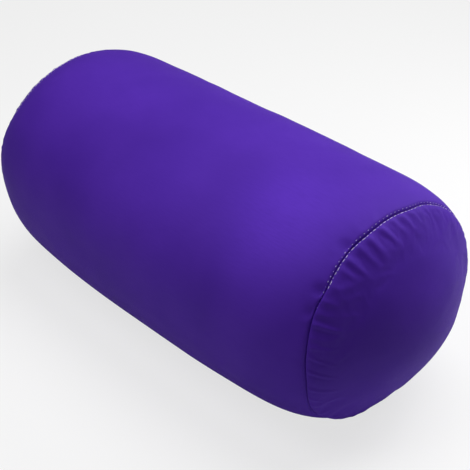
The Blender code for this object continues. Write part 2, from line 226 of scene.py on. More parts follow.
class Graph:
    """The node tree of a material or a world."""

    def __init__(self, owner: bpy.types.Material | bpy.types.World) -> None:
        """Empties the owner's tree."""
        owner.use_nodes = True
        self.owner = owner
        self.tree = owner.node_tree
        self.tree.nodes.clear()

    @classmethod
    def of_material(cls, name: str) -> "Graph":
        """Starts a material of this name."""
        return cls(bpy.data.materials.new(name))

    def node(self, kind: str, settings: dict | None = None, inputs: dict | None = None) -> bpy.types.Node:
        """Adds a node.

        Args:
            kind: The node's type.
            settings: Its own properties, which are set first. "stops" gives a ramp's positions and colours.
            inputs: Values, fields or sockets, by the input's name or number.

        Returns:
            The node.
        """
        made = self.tree.nodes.new(kind)
        for key, value in (settings or {}).items():
            if key == "stops":
                for i, (position, colour) in enumerate(value):
                    elements = made.color_ramp.elements
                    stop = elements[i] if i < len(elements) else elements.new(position)
                    stop.position, stop.color = position, (*colour, 1.0)
            else:
                setattr(made, key, value)
        for key, value in (inputs or {}).items():
            self.feed(made.inputs[key], value)
        return made

    def feed(self, socket: bpy.types.NodeSocket, value: object) -> None:
        """Sets an input to a value, or links it to a field or a socket."""
        if isinstance(value, Field):
            value = value.socket
        if isinstance(value, bpy.types.NodeSocket):
            self.tree.links.new(value, socket)
        else:
            socket.default_value = value

    def parts(self, vector: bpy.types.NodeSocket) -> tuple[Field, Field, Field]:
        """A vector's three numbers."""
        made = self.node("ShaderNodeSeparateXYZ", None, {0: vector})
        return tuple(Field(self, output) for output in made.outputs)

    def cloth(self) -> bpy.types.NodeSocket:
        """Where a point lies on the flat cloth, in metres."""
        return self.node("ShaderNodeUVMap", {"uv_map": CLOTH_MAP}).outputs[0]

    def place(self) -> bpy.types.NodeSocket:
        """Where a point lies in the frame, in metres."""
        return self.node("ShaderNodeTexCoord").outputs["Object"]

    def stretched(self, vector: bpy.types.NodeSocket, scale: Triple) -> bpy.types.NodeSocket:
        """A vector, scaled by these amounts along its axes."""
        made = self.node("ShaderNodeVectorMath", {"operation": "MULTIPLY"}, {0: vector, 1: scale})
        return made.outputs[0]

    def around(self, centre: Triple, radius: float) -> Field:
        """1 at this place in the frame, and 0 from this radius on."""
        gap = self.node("ShaderNodeVectorMath", {"operation": "DISTANCE"}, {0: self.place(), 1: centre})
        return 1 - Field(self, gap.outputs["Value"]).between(0.0, radius)

    def clouds(self, vector: bpy.types.NodeSocket, scale: float, detail: float = 2.0) -> Field:
        """Soft noise from 0 to 1, with this many lumps per unit."""
        made = self.node("ShaderNodeTexNoise", None, {"Vector": vector, "Scale": scale, "Detail": detail})
        return Field(self, made.outputs["Fac"])

    def mix(self, share: Field | float, first: object, second: object) -> bpy.types.NodeSocket:
        """A colour between two colours, given as values or sockets."""
        colours = [(*c, 1.0) if isinstance(c, tuple) else c for c in (first, second)]
        made = self.node("ShaderNodeMix", {"data_type": "RGBA"}, {0: share, 6: colours[0], 7: colours[1]})
        return made.outputs[2]

    def bump(self, height: Field, depth: float, strength: float = 1.0) -> bpy.types.NodeSocket:
        """The normal of a surface that rises by depth metres where height is 1."""
        made = self.node("ShaderNodeBump", None, {"Height": height, "Distance": depth, "Strength": strength})
        return made.outputs[0]

    def surface(self, **inputs: object) -> bpy.types.Material:
        """Ends the graph in a Principled shader.

        Args:
            inputs: The shader's inputs, named with _ for a space.

        Returns:
            The finished material.
        """
        named = {key.replace("_", " "): value for key, value in inputs.items()}
        shader = self.node("ShaderNodeBsdfPrincipled", None, named)
        self.node("ShaderNodeOutputMaterial", None, {"Surface": shader.outputs[0]})
        return self.owner


# Finishes


@dataclass(frozen=True)
class PaintedHighlightPatch:
    """A painted highlight: a round place where the knit's colour is lightened to stand for the light that
    falls there.
    """

    centre: Triple
    radius: float
    amount: float


@dataclass(frozen=True)
class StretchKnit:
    """A fine stretch knit: columns of small loops, a soft sheen, cloudy shading over a stuffed form, and
    painted highlights.
    """

    colour: Colour = (0.0760, 0.0172, 0.378)
    deep: Colour = (0.0615, 0.0125, 0.326)
    rubbed: Colour = (0.096, 0.032, 0.412)
    # The colour towards which the painted highlights lighten the knit.
    pale: Colour = (0.110, 0.028, 0.545)
    sheen: Colour = (0.50, 0.25, 1.0)
    column: float = 0.00085
    loop: float = 0.00062
    # Painted highlights: round patches where the knit's colour is lightened to stand for the light that falls
    # on the body there.
    taut: tuple[PaintedHighlightPatch, ...] = (
        PaintedHighlightPatch((0.105, -0.050, 0.147), 0.066, 0.90),
        PaintedHighlightPatch((0.018, -0.063, 0.138), 0.055, 0.30),
        PaintedHighlightPatch((-0.062, -0.007, 0.161), 0.050, 0.10),
        PaintedHighlightPatch((0.044, -0.086, 0.100), 0.045, 0.25),
        PaintedHighlightPatch((-0.023, -0.085, 0.106), 0.040, 0.20),
    )

    def material(self) -> bpy.types.Material:
        """The knit's material."""
        graph = Graph.of_material("purple_stretch_knit")
        flat = graph.cloth()
        across, along, _ = graph.parts(flat)
        leg = (across / self.column).saw()
        loops = ((along / self.loop + leg * 0.45) * math.tau).sine() * 0.5 + 0.5
        knit = (leg * math.pi).sine() * (loops * 0.5 + 0.5)
        streaks = graph.clouds(graph.stretched(flat, (900.0, 110.0, 1.0)), 1.0, 2.0)
        fuzz = graph.clouds(flat, 5200.0, 3.0)
        cloudy = graph.clouds(graph.place(), 17.0, 3.0).between(0.30, 0.70)
        base = graph.mix(cloudy, self.deep, self.colour)
        # Painted highlights: the colour is lightened towards pale in each patch.
        for patch in self.taut:
            base = graph.mix(graph.around(patch.centre, patch.radius) * patch.amount, base, self.pale)
        base = graph.mix(streaks.between(0.35, 0.75) * 0.20, base, self.deep)
        base = graph.mix(fuzz.between(0.62, 0.80) * 0.25, base, self.rubbed)
        return graph.surface(
            Base_Color=base,
            Roughness=0.66 + streaks * 0.08,
            Specular_IOR_Level=0.16,
            Sheen_Weight=0.10,
            Sheen_Roughness=0.30,
            Sheen_Tint=(*self.sheen, 1.0),
            Normal=graph.bump(knit * 0.75 + streaks * 0.5 + fuzz * 0.15, 0.00010, 0.55),
        )


@dataclass(frozen=True)
class SewingThread:
    """A twisted sewing thread."""

    name: str
    colour: Colour
    pale: Colour
    ply: float = 0.0009

    def material(self) -> bpy.types.Material:
        """The thread's material."""
        graph = Graph.of_material(self.name)
        x, y, z = graph.parts(graph.place())
        twist = ((x + y * 0.7 + z * 1.1) / self.ply).saw()
        fibres = graph.clouds(graph.place(), 4200.0, 2.0)
        return graph.surface(
            Base_Color=graph.mix(twist * 0.6 + fibres * 0.3, self.colour, self.pale),
            Roughness=0.5 + fibres * 0.15,
            Sheen_Weight=0.25,
            Normal=graph.bump(twist + fibres * 0.4, 0.00006, 0.6),
        )


@dataclass(frozen=True)
class WovenTape:
    """A narrow tape in a herringbone weave."""

    colour: Colour = (0.060, 0.016, 0.280)
    pale: Colour = (0.095, 0.035, 0.360)
    yarn: float = 0.0005
    zigzag: float = 0.0030

    def material(self) -> bpy.types.Material:
        """The tape's material."""
        graph = Graph.of_material("purple_zip_tape")
        across, along, _ = graph.parts(graph.cloth())
        slant = (across / self.zigzag).saw() * self.zigzag
        weave = ((along + slant) / self.yarn * math.tau).sine() * 0.5 + 0.5
        fuzz = graph.clouds(graph.cloth(), 4200.0, 2.0)
        return graph.surface(
            Base_Color=graph.mix(weave * 0.6 + fuzz * 0.3, self.colour, self.pale),
            Roughness=0.78 + fuzz * 0.1,
            Sheen_Weight=0.2,
            Normal=graph.bump(weave + fuzz * 0.4, 0.00010, 0.7),
        )


@dataclass(frozen=True)
class NylonCoil:
    """The drawn nylon of the zip's coils."""

    colour: Colour = (0.070, 0.020, 0.300)
    pale: Colour = (0.120, 0.050, 0.400)

    def material(self) -> bpy.types.Material:
        """The nylon's material."""
        graph = Graph.of_material("purple_nylon_coil")
        drawn = graph.clouds(graph.place(), 900.0, 2.0)
        return graph.surface(
            Base_Color=graph.mix(drawn.between(0.4, 0.7) * 0.5, self.colour, self.pale),
            Roughness=0.30 + drawn * 0.15,
            Normal=graph.bump(drawn, 0.00003, 0.5),
        )


@dataclass(frozen=True)
class NickelPlate:
    """Nickel plate on a cast zinc slider, with a cast grain, fine scratches and dull tarnished patches."""

    colour: Colour = (0.62, 0.60, 0.56)
    dull: Colour = (0.38, 0.36, 0.34)

    def material(self) -> bpy.types.Material:
        """The metal's material."""
        graph = Graph.of_material("nickel_plate")
        place = graph.place()
        cast = graph.clouds(place, 1600.0, 3.0)
        scratches = graph.clouds(graph.stretched(place, (300.0, 4200.0, 4200.0)), 1.0, 1.0)
        tarnish = graph.clouds(place, 330.0, 2.0).between(0.45, 0.70)
        return graph.surface(
            Base_Color=graph.mix(tarnish * 0.6, self.colour, self.dull),
            Metallic=1.0,
            Roughness=0.22 + tarnish * 0.14 + scratches.between(0.55, 0.75) * 0.10,
            Normal=graph.bump(cast * 0.6 + scratches * 0.4, 0.00003, 0.5),
        )


@dataclass(frozen=True)
class PlainLiner:
    """A thin white woven liner."""

    colour: Colour = (0.80, 0.80, 0.78)
    shade: Colour = (0.66, 0.66, 0.65)
    yarn: float = 0.00045

    def material(self) -> bpy.types.Material:
        """The liner's material."""
        graph = Graph.of_material("white_liner_cloth")
        across, along, _ = graph.parts(graph.cloth())
        over = (across / self.yarn * math.pi).sine()
        under = (along / self.yarn * math.pi).sine()
        weave = over * under * 0.5 + 0.5
        creases = graph.clouds(graph.place(), 60.0, 3.0)
        return graph.surface(
            Base_Color=graph.mix(weave * 0.35 + creases * 0.4, self.colour, self.shade),
            Roughness=0.85,
            Sheen_Weight=0.15,
            Normal=graph.bump(weave * 0.3 + creases, 0.0003, 0.5),
        )


@dataclass(frozen=True)
class FoamBeads:
    """A mass of white expanded polystyrene micro beads."""

    colour: Colour = (0.90, 0.90, 0.89)
    shade: Colour = (0.62, 0.62, 0.61)
    bead: float = 0.0010

    def material(self) -> bpy.types.Material:
        """The beads' material."""
        graph = Graph.of_material("polystyrene_beads")
        cells = graph.node("ShaderNodeTexVoronoi", None, {"Vector": graph.place(), "Scale": 1 / self.bead})
        far = Field(graph, cells.outputs["Distance"])
        return graph.surface(
            Base_Color=graph.mix(far.between(0.35, 0.75), self.colour, self.shade),
            Roughness=0.55 + far * 0.2,
            Normal=graph.bump(1 - far * far, 0.0004, 0.8),
        )


# The filled shape


@dataclass(frozen=True)
class FilledShape:
    """The outside of the filled cover as it lies on the floor. The ends lean back a little, as in use."""

    half_width: float = 0.089
    half_height: float = 0.0812
    seam_reach: float = 0.154
    crown: float = 0.030
    shoulder_drop: float = 0.0080
    shoulder_power: float = 10.0
    barrel: float = 0.0038
    underside_barrel: float = 0.0030
    end_lift: float = 0.0027
    far_lift: float = 0.0020  # how much further the far end stands off the floor
    lower_power: float = 2.3
    floor_cut: float = 0.0005
    flat_half_length: float = 0.050
    zip_half_length: float = 0.109
    zip_hold_angle: float = math.radians(11.0)
    zip_fade_angle: float = math.radians(32.0)
    bow: float = 0.0016  # how far the two ends lie behind the middle
    seam_lean: float = 0.0037  # how far the top of an end seam lies behind its middle
    lump: float = 0.0008  # the beads' soft unevenness under the cloth
    lumps_per_metre: float = 22.0
    finer: float = 2.7  # how much finer the small lumps are
    finer_share: float = 0.35  # and how much lower

    @property
    def centre_height(self) -> float:
        """Height of the middle line."""
        return self.half_height - self.floor_cut

    def zip_hold(self, angle: float) -> float:
        """How firmly the zip holds the cover straight: 1 beside the zip, 0 away from it."""
        off = abs(math.remainder(angle, math.tau))
        return smooth((self.zip_fade_angle - off) / (self.zip_fade_angle - self.zip_hold_angle))

    def section(self, angle: float, inset: float) -> tuple[float, float]:
        """Point (y, z) of the middle section about its centre. The lower half is a fuller curve."""
        y, z = math.cos(angle), math.sin(angle)
        power = self.lower_power if z < 0 else 2.0
        reach = (abs(y) ** power + abs(z) ** power) ** (-1 / power)
        return (self.half_width - inset) * y * reach, (self.half_height - inset) * z * reach

    def body_point(self, x: float, angle: float, inset: float = 0.0) -> Vector:
        """Point of the filled body.

        Args:
            x: Distance along the bolster from its middle.
            angle: Angle round it from the zip.
            inset: How far the point lies inside the outside of the cover.

        Returns:
            The point.
        """
        hold = self.zip_hold(angle)
        share = abs(x) / self.seam_reach
        zip_share = self.zip_half_length / self.seam_reach
        flat_share = self.flat_half_length / self.seam_reach
        held = max(share, zip_share)
        spread = math.sqrt(share**2 * (1 - hold) + held**2 * hold)
        under = max(0.0, -math.sin(angle)) ** 2
        barrel = blend(self.barrel, self.underside_barrel, under)
        drop = barrel * spread**2 + self.shoulder_drop * spread**self.shoulder_power
        lift = self.end_lift * (max(0.0, spread - flat_share) / (1 - flat_share)) ** 2
        lift += self.far_lift * max(0.0, -x / self.seam_reach) ** 4 * (1 - hold)
        back = self.bow * (share**2 * (1 - hold) + (held**2 - zip_share**2) * hold)
        slim = 1 - drop / self.half_width
        y, z = self.section(angle, inset)
        lean = self.seam_lean * math.sin(angle) * smooth(2 * share - 1)
        height = self.centre_height + lift + slim * z
        return Vector((x - math.copysign(lean, x), slim * y + back, max(height, inset)))

    def crown_point(
        self, end: End, share: float, angle: float, start: float, height: float, inset: float
    ) -> Vector:
        """Point of a domed end.

        Args:
            end: Which end.
            share: 0 at the middle of the dome, and 1 at its rim.
            angle: Angle round the bolster.
            start: How far along the body the dome starts.
            height: How far it bulges.
            inset: How far its rim lies inside the outside of the cover.

        Returns:
            The point.
        """
        rim = self.body_point(end.value * start, angle, inset)
        lean = rim.x - end.value * start
        lift = self.end_lift + (self.far_lift if end is End.FAR else 0.0)
        centre = Vector((0.0, self.bow, self.centre_height + lift))
        point = centre.lerp(rim, share)
        point.x = end.value * (start + height * (1 - share**2)) + lean * share**2
        return point

    def outwards(self, angle: float) -> Vector:
        """Direction straight out of the body at this angle."""
        y, z = self.section(angle, 0.0)
        return Vector((0.0, y / self.half_width**2, z / self.half_height**2)).normalized()

    def crown_outwards(self, end: End, share: float, angle: float) -> Vector:
        """Direction straight out of a domed end."""
        slope = 2 * self.crown * share / self.half_width
        return Vector((end.value, slope * math.cos(angle), slope * math.sin(angle))).normalized()

    def lumps(self, point: Vector, angle: float) -> float:
        """How far the beads push the cloth out or let it in here. It is even at the zip and below."""
        under = smooth(2 * -math.sin(angle) - 0.6)
        free = (1 - under) * (1 - self.zip_hold(angle))
        coarse = noise.noise(point * self.lumps_per_metre)
        fine = noise.noise(point * self.lumps_per_metre * self.finer)
        return self.lump * free * (coarse + self.finer_share * fine)

    def angle_across(self, distance: float) -> float:
        """The angle at which the body is this far across from the zip's middle line."""
        slim = self.body_point(0.0, 0.0).y / self.half_width
        return math.asin(distance / (self.half_height * slim))

    def unrolled(self, along: float, angle: float) -> tuple[float, float]:
        """A point of the side on cloth that is laid flat."""
        return angle * self.half_height, along

    def zip_point(self, along: float, across: float, out: float) -> Vector:
        """Point of the zip, from its middle: along the bolster, down across the zip, and out of the cover."""
        middle = self.body_point(0.0, 0.0)
        return Vector((along, middle.y + out, middle.z - across))


# Gathers and seams


@dataclass(frozen=True)
class Gather:
    """One small fold of an end panel. Its ridge runs in from the seam, with a shallow valley on each side."""

    degrees: float  # where its ridge meets the seam
    depth: float  # from its ridge down to its valleys
    reach: float  # how far it runs from the seam
    veer: float = 0.0  # how far it turns back towards the zip for each step inwards
    width: float = 0.0024  # from its ridge to where it is level with the cloth

    def height(self, across: float) -> float:
        """Height of the whole fold this far across from its ridge."""
        share = (across / self.width) ** 2
        return self.depth * (math.exp(-share) - 0.5 * math.exp(-share / 4)) / 0.685


@dataclass(frozen=True)
class GatherRing:
    """The folds round one end, where a flat disc is eased on to a shorter seam."""

    gathers: tuple[Gather, ...]
    rise: float = 0.0026  # distance from the seam at which a fold is at its deepest

    def fold(self, angle: float, distance: float, radius: float) -> float:
        """Height of the folds.

        Args:
            angle: Angle round the bolster.
            distance: Distance from the seam.
            radius: Distance of the seam from the bolster's middle line.

        Returns:
            How far the cloth stands out of the smooth dome.
        """
        total = 0.0
        for gather in self.gathers:
            past = max(0.0, distance - self.rise) / gather.reach
            turned = angle - math.radians(gather.degrees) + gather.veer * distance / radius
            across = math.remainder(turned, math.tau) * radius
            if past < 1 and abs(across) < 6 * gather.width:
                total += gather.height(across) * smooth(1 - past)
        return total * blend(0.45, 1.0, smooth(distance / self.rise))


# The folds that the near end shows, from its upper right to its lower left, in degrees and metres
SEEN_GATHERS = (
    Gather(51.0, 0.0002, 0.009, 1.0),
    Gather(62.0, 0.0002, 0.009, 1.2),
    Gather(72.0, 0.0003, 0.009, 1.0),
    Gather(83.5, 0.0005, 0.010, 0.95, 0.0026),
    Gather(88.7, 0.0007, 0.017, 0.60, 0.0028),
    Gather(94.6, 0.0004, 0.011, 0.55, 0.0024),
    Gather(101.8, 0.0010, 0.018, 0.46, 0.0028),
    Gather(109.3, 0.0009, 0.023, 0.12, 0.0029),
    Gather(112.4, 0.0003, 0.012, 0.05, 0.0022),
    Gather(115.1, 0.0008, 0.017, 0.00, 0.0027),
    Gather(123.0, 0.0010, 0.017, -0.04, 0.0029),
    Gather(128.6, 0.0005, 0.012, 0.05, 0.0028),
    Gather(137.5, 0.0003, 0.010, 0.10),
    Gather(145.0, 0.0006, 0.010, 0.00),
    Gather(151.2, 0.0005, 0.010, 0.00),
    Gather(156.6, 0.0011, 0.020, -0.12, 0.0021),
    Gather(163.3, 0.0004, 0.010, -0.15, 0.0018),
    Gather(168.3, 0.0005, 0.020, -0.15, 0.0016),
    Gather(172.3, 0.0006, 0.019, -0.75, 0.0016),
    Gather(181.1, 0.0006, 0.020, -0.80, 0.0017),
    Gather(192.6, 0.0005, 0.024, -0.80, 0.0018),
    Gather(200.0, 0.0004, 0.012, -1.00, 0.0018),
)


def uneven_gathers(first: float, last: float, count: int, depth: float, reach: float) -> tuple[Gather, ...]:
    """Evenly sewn folds with a maker's small differences.

    Args:
        first: Where the first one is, in degrees.
        last: Where the one after the last would be.
        count: How many there are.
        depth: How deep they are.
        reach: How far they run from the seam.

    Returns:
        The folds, in order.
    """
    pitch = (last - first) / count
    return tuple(
        Gather(
            first + pitch * (i + 0.26 * math.sin(2.4 * i)),
            depth * (1 + 0.45 * math.sin(1.7 * i + 0.4)),
            reach * (1 + 0.35 * math.cos(2.9 * i)),
            0.5 * math.sin(1.1 * i),
            blend(0.0018, 0.0026, 0.5 + 0.5 * math.sin(3.7 * i)),
        )
        for i in range(count)
    )


@dataclass(frozen=True)
class Dimple:
    """A small hollow that the seam pulls into the body panel."""

    degrees: float
    depth: float
    reach: float  # how far it runs from the seam
    width: float
    start: float = 0.0015  # distance from the seam at which it is at its deepest

    def sunk(self, angle: float, distance: float, radius: float) -> float:
        """How deep it is at this angle and distance from the seam."""
        across = math.remainder(angle - math.radians(self.degrees), math.tau) * radius
        fade = smooth(1 - distance / self.reach) * smooth(distance / self.start)
        return self.depth * hump(across, self.width) * fade


@dataclass(frozen=True)
class Stray:
    """One place where an end seam strays from its even line."""

    degrees: float
    shift: float  # beyond the even line, away from the bolster's middle
    width: float  # in degrees

    def at(self, angle: float) -> float:
        """The shift at this angle."""
        off = (math.degrees(angle) - self.degrees + 180.0) % 360.0 - 180.0
        return self.shift * hump(off, self.width)


@dataclass(frozen=True)
class EndSeam:
    """The seam between the body and an end panel: how both cloths roll into it, and how it strays."""

    shape: FilledShape
    notch: float = 0.0024
    roll: float = 0.0019
    allowance: float = 0.0070
    ripple: float = 0.0002
    shown_from: float = 345.0  # where the crease is open again, in degrees
    shown_until: float = 138.0  # where it starts to close over its stitches
    gapes_until: float = 116.0  # where it starts to gape less
    closing: float = 16.0  # over how many degrees it closes
    opening: float = 30.0  # over how many degrees it opens
    closed_depth: float = 0.0028  # how deep the stitches lie where it is closed, under the weight
    gape: float = 0.0006  # how far the filling pulls it open where they show
    gape_reach: float = 0.012  # how far from the seam the cloth is drawn back
    gape_depth: float = 0.0060  # how deep down the crease it is drawn back
    stray_reach: float = 0.03  # how far from the seam the cloth follows its straying
    near: tuple[Stray, ...] = (
        Stray(81.0, 0.0014, 8.0),
        Stray(102.0, 0.0005, 6.0),
        Stray(123.0, -0.0017, 10.0),
        Stray(155.0, -0.0011, 8.0),
        Stray(192.0, 0.0019, 12.0),
    )
    far: tuple[Stray, ...] = (
        Stray(40.0, 0.0008, 15.0),
        Stray(165.0, 0.0022, 22.0),
        Stray(265.0, 0.0006, 18.0),
    )

    def shift(self, end: End, angle: float) -> float:
        """How far the seam lies beyond its even line at this angle."""
        ripple = math.sin(9 * angle + 0.7) + 0.6 * math.sin(23 * angle + 2.0)
        strays = self.near if end is End.NEAR else self.far
        return self.ripple * ripple + sum(stray.at(angle) for stray in strays)

    def strayed(self, end: End, angle: float, distance: float) -> float:
        """How far the cloth at this distance from the seam follows it out."""
        return self.shift(end, angle) * smooth(1 - distance / self.stray_reach)

    def rolled(self, count: int) -> list[tuple[float, float]]:
        """How the cloth rolls in: its distance from the seam, and how far it has sunk, step by step."""
        turns = [math.pi / 2 * i / count for i in range(count + 1)]
        return [(self.roll * (1 - math.sin(t)), self.notch * (1 - math.cos(t))) for t in turns]

    def turned_in(self) -> list[float]:
        """How far inside the cover the turned-in edge lies, step by step."""
        return [0.0030, 0.0050, self.allowance]

    def closed(self, angle: float, until: float) -> float:
        """1 where the crease is closed, and 0 where it is open, up to this many degrees and past its end."""
        degrees = math.degrees(angle)
        return smooth((degrees - until) / self.closing) * smooth((self.shown_from - degrees) / self.opening)

    def opened(self, angle: float, distance: float, inset: float) -> float:
        """How far the body's edge is drawn back from the seam, at this distance from it and this deep."""
        shallow = smooth((self.gape_depth - inset) / (self.gape_depth / 2))
        near_seam = smooth(1 - distance / self.gape_reach) * shallow
        return self.gape * (1 - self.closed(angle, self.gapes_until)) * near_seam

    def sunk(self, distance: float) -> float:
        """How deep the rolled cloth lies at this distance from the seam."""
        over = 1 - distance / self.roll
        return self.notch * (1 - math.sqrt(1 - over**2))

    def inside(self, end: End, angle: float, depth: float) -> Vector:
        """The point this deep in the crease, between its two cloths."""
        point = self.shape.body_point(end.value * self.shape.seam_reach, angle, depth)
        point.x += end.value * (TOUCH / 2 + self.shift(end, angle))
        return point


# Making pieces


def put(name: str, data: bpy.types.ID) -> bpy.types.Object:
    """Puts an object in the scene, at the origin."""
    made = bpy.data.objects.new(name, data)
    bpy.context.scene.collection.objects.link(made)
    return made


def piece(
    name: str,
    data: bpy.types.ID,
    finish: bpy.types.Material,
    stands_for: str = "",
    body: Body = Body.CUSHION,
) -> bpy.types.Object:
    """Makes a piece of a finished mesh or curve.

    Args:
        name: The piece's name.
        data: Its mesh or curve, already in place.
        finish: Its material.
        stands_for: The frame's node that it replaces, if it replaces one.
        body: What it moves with.

    Returns:
        The piece.
    """
    made = put(name, data)
    data.materials.append(finish)
    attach(made, body.value)
    if stands_for:
        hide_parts(stands_for)
    return made


def mesh_data(name: str, mesh: bmesh.types.BMesh) -> bpy.types.Mesh:
    """Turns a bmesh into smooth-shaded mesh data, and frees it."""
    data = bpy.data.meshes.new(name)
    mesh.to_mesh(data)
    mesh.free()
    data.shade_smooth()
    return data


def cast(
    name: str,
    mesh: bmesh.types.BMesh,
    metal: bpy.types.Material,
    stands_for: str,
    body: Body = Body.CUSHION,
) -> bpy.types.Object:
    """Makes a metal piece of a bmesh, smooth but for its crisp edges.

    Args:
        name: The piece's name.
        mesh: Its bmesh, already in place, which is freed.
        metal: Its material.
        stands_for: The frame's node that it replaces.
        body: What it moves with.

    Returns:
        The piece.
    """
    made = piece(name, mesh_data(name, mesh), metal, stands_for, body)
    made.data.set_sharp_from_angle(angle=CRISP)
    return made


def laid_cloth(name: str, rows: Sequence, columns: Sequence, place: Place, flat: Callable) -> bpy.types.Mesh:
    """Lays a grid of cloth on a surface. Columns turn from +Y up, and rows go towards +X.

    Args:
        name: The mesh's name.
        rows: What place and flat take for each row.
        columns: What they take for each column.
        place: Gives a point of the surface for a row and a column.
        flat: Gives the same point on the flat cloth, in metres.

    Returns:
        The mesh, closed where its last column meets its first or a row shrinks to a point.
    """
    mesh = bmesh.new()
    bmesh.ops.create_grid(mesh, x_segments=len(columns) - 1, y_segments=len(rows) - 1, size=1.0)
    wide, long = (len(columns) - 1) / 2, (len(rows) - 1) / 2
    cells = {v: (rows[round((v.co.y + 1) * long)], columns[round((v.co.x + 1) * wide)]) for v in mesh.verts}
    layer = mesh.loops.layers.uv.new(CLOTH_MAP)
    for face in mesh.faces:
        for corner in face.loops:
            corner[layer].uv = flat(*cells[corner.vert])
    for vertex, cell in cells.items():
        vertex.co = place(*cell)
    bmesh.ops.remove_doubles(mesh, verts=mesh.verts, dist=1e-6)
    return mesh_data(name, mesh)


def thicken(made: bpy.types.Object, thickness: float) -> None:
    """Gives a cloth its thickness, inwards."""
    wall = made.modifiers.new("cloth", "SOLIDIFY")
    wall.thickness = thickness


@dataclass(frozen=True)
class Settling:
    """A short cloth simulation: the filling presses a panel out, and its spare cloth folds by itself."""

    pressure: float = 0.3
    slack: float = 0.010  # how much larger the cloth is cut than its form, right beside the seam
    slack_reach: float = 0.020  # how far from the seam there is spare cloth
    held_edge: float = 0.0018  # how far from the seam its stitches hold it
    held_fade: float = 0.002  # how much further on it is free
    free_reach: float = 0.050  # how far from the seam it may move
    limit: float = 0.0004  # how far any point may move
    frames: int = 20

    def run(self, made: bpy.types.Object, distances: Sequence[float]) -> None:
        """Simulates a piece, and keeps the result in its mesh.

        Args:
            made: The piece, without modifiers.
            distances: Each point's distance from the seam.
        """
        scene = bpy.context.scene
        held = made.vertex_groups.new(name="held")
        taut = made.vertex_groups.new(name="taut")
        for i, distance in enumerate(distances):
            free = smooth((distance - self.held_edge) / self.held_fade)
            free *= smooth((self.free_reach - distance) / (self.free_reach - self.slack_reach))
            held.add([i], 1 - free, "REPLACE")
            taut.add([i], 1 - smooth((self.slack_reach - distance) / self.slack_reach), "REPLACE")
        cloth = made.modifiers.new("settling", "CLOTH")
        cloth.collision_settings.use_collision = False
        values = {
            "quality": 4,
            "mass": 0.02,
            "bending_stiffness": 0.1,
            "use_pressure": True,
            "uniform_pressure_force": self.pressure,
            "vertex_group_mass": held.name,
            "vertex_group_shrink": taut.name,
            "shrink_min": -self.slack,
            "shrink_max": 0.0,
        }
        for key, value in values.items():
            setattr(cloth.settings, key, value)
        cloth.settings.effector_weights.gravity = 0.0
        for frame in range(1, self.frames + 1):
            scene.frame_set(frame)
        settled = made.evaluated_get(bpy.context.evaluated_depsgraph_get()).data
        moves = [after.co - before.co for before, after in zip(made.data.vertices, settled.vertices)]
        made.modifiers.remove(cloth)
        made.vertex_groups.clear()
        scene.frame_set(1)
        for vertex, move in zip(made.data.vertices, moves):
            move.length = min(move.length, self.limit)
            vertex.co += move
        LOG.info("%s settled by up to %.2f mm", made.name, 1000 * max(move.length for move in moves))


@dataclass(frozen=True)
class Stitching:
    """A line of single stitches, each a short grain of thread that dips in at both ends."""

    pitch: float
    length: float
    radius: float
    uneven: float = 0.0  # how much the stitches differ in length and in how deep they are drawn in

    def sew(self, name: str, line: Line, closed: bool = False) -> bpy.types.Mesh:
        """Sews along a line.

        Args:
            name: The mesh's name.
            line: The line.
            closed: Whether the last point leads back to the first.

        Returns:
            The stitches, as one mesh.
        """
        mesh = bmesh.new()
        self.add_to(mesh, line, closed)
        return mesh_data(name, mesh)

    def add_to(self, mesh: bmesh.types.BMesh, line: Line, closed: bool = False) -> None:
        """Adds the stitches along a line to a mesh."""
        grain = bmesh.new()
        bmesh.ops.create_uvsphere(grain, u_segments=8, v_segments=8, radius=1.0)
        single = bpy.data.meshes.new("stitch")
        grain.to_mesh(single)
        grain.free()
        points = list(line) + ([line[0]] if closed else [])
        lengths = [0.0]
        for (a, _), (b, _) in zip(points, points[1:]):
            lengths.append(lengths[-1] + (b - a).length)
        count = max(1, round(lengths[-1] / self.pitch))
        for i in range(count):
            along = lengths[-1] * (i + 0.5) / count
            after = min(bisect_right(lengths, along), len(points) - 1)
            (a, out_a), (b, out_b) = points[after - 1], points[after]
            share = (along - lengths[after - 1]) / (lengths[after] - lengths[after - 1])
            run = (b - a).normalized()
            out = out_a.lerp(out_b, share)
            out = (out - run * out.dot(run)).normalized()
            turn = Matrix((out.cross(run), out, run)).transposed().to_4x4()
            length = self.length * (1 + 0.5 * self.uneven * math.sin(2.3 * i))
            drawn_in = out * self.radius * self.uneven * (1 + math.sin(4.1 * i + 0.6 * math.sin(0.9 * i)))
            size = Matrix.Diagonal((self.radius, self.radius, length / 2, 1.0))
            sewn = single.copy()
            sewn.transform(Matrix.Translation(a.lerp(b, share) - drawn_in) @ turn @ size)
            mesh.from_mesh(sewn)
            bpy.data.meshes.remove(sewn)
        bpy.data.meshes.remove(single)


def thread_curve(
    name: str, points: Sequence[Vector], radius: float, closed: bool = False, resolution: int = 1
) -> bpy.types.Curve:
    """A thread or wire along the points.

    Args:
        name: The curve's name.
        points: The points along its middle.
        radius: Its radius.
        closed: Whether it runs back to its first point.
        resolution: The bevel's resolution.

    Returns:
        The curve.
    """
    curve = bpy.data.curves.new(name, "CURVE")
    curve.dimensions = "3D"
    curve.bevel_depth = radius
    curve.bevel_resolution = resolution
    curve.use_fill_caps = not closed
    spline = curve.splines.new("POLY")
    spline.points.add(len(points) - 1)
    for target, point in zip(spline.points, points):
        target.co = (*point, 1.0)
    spline.use_cyclic_u = closed
    spline.use_smooth = True
    return curve


# Cover


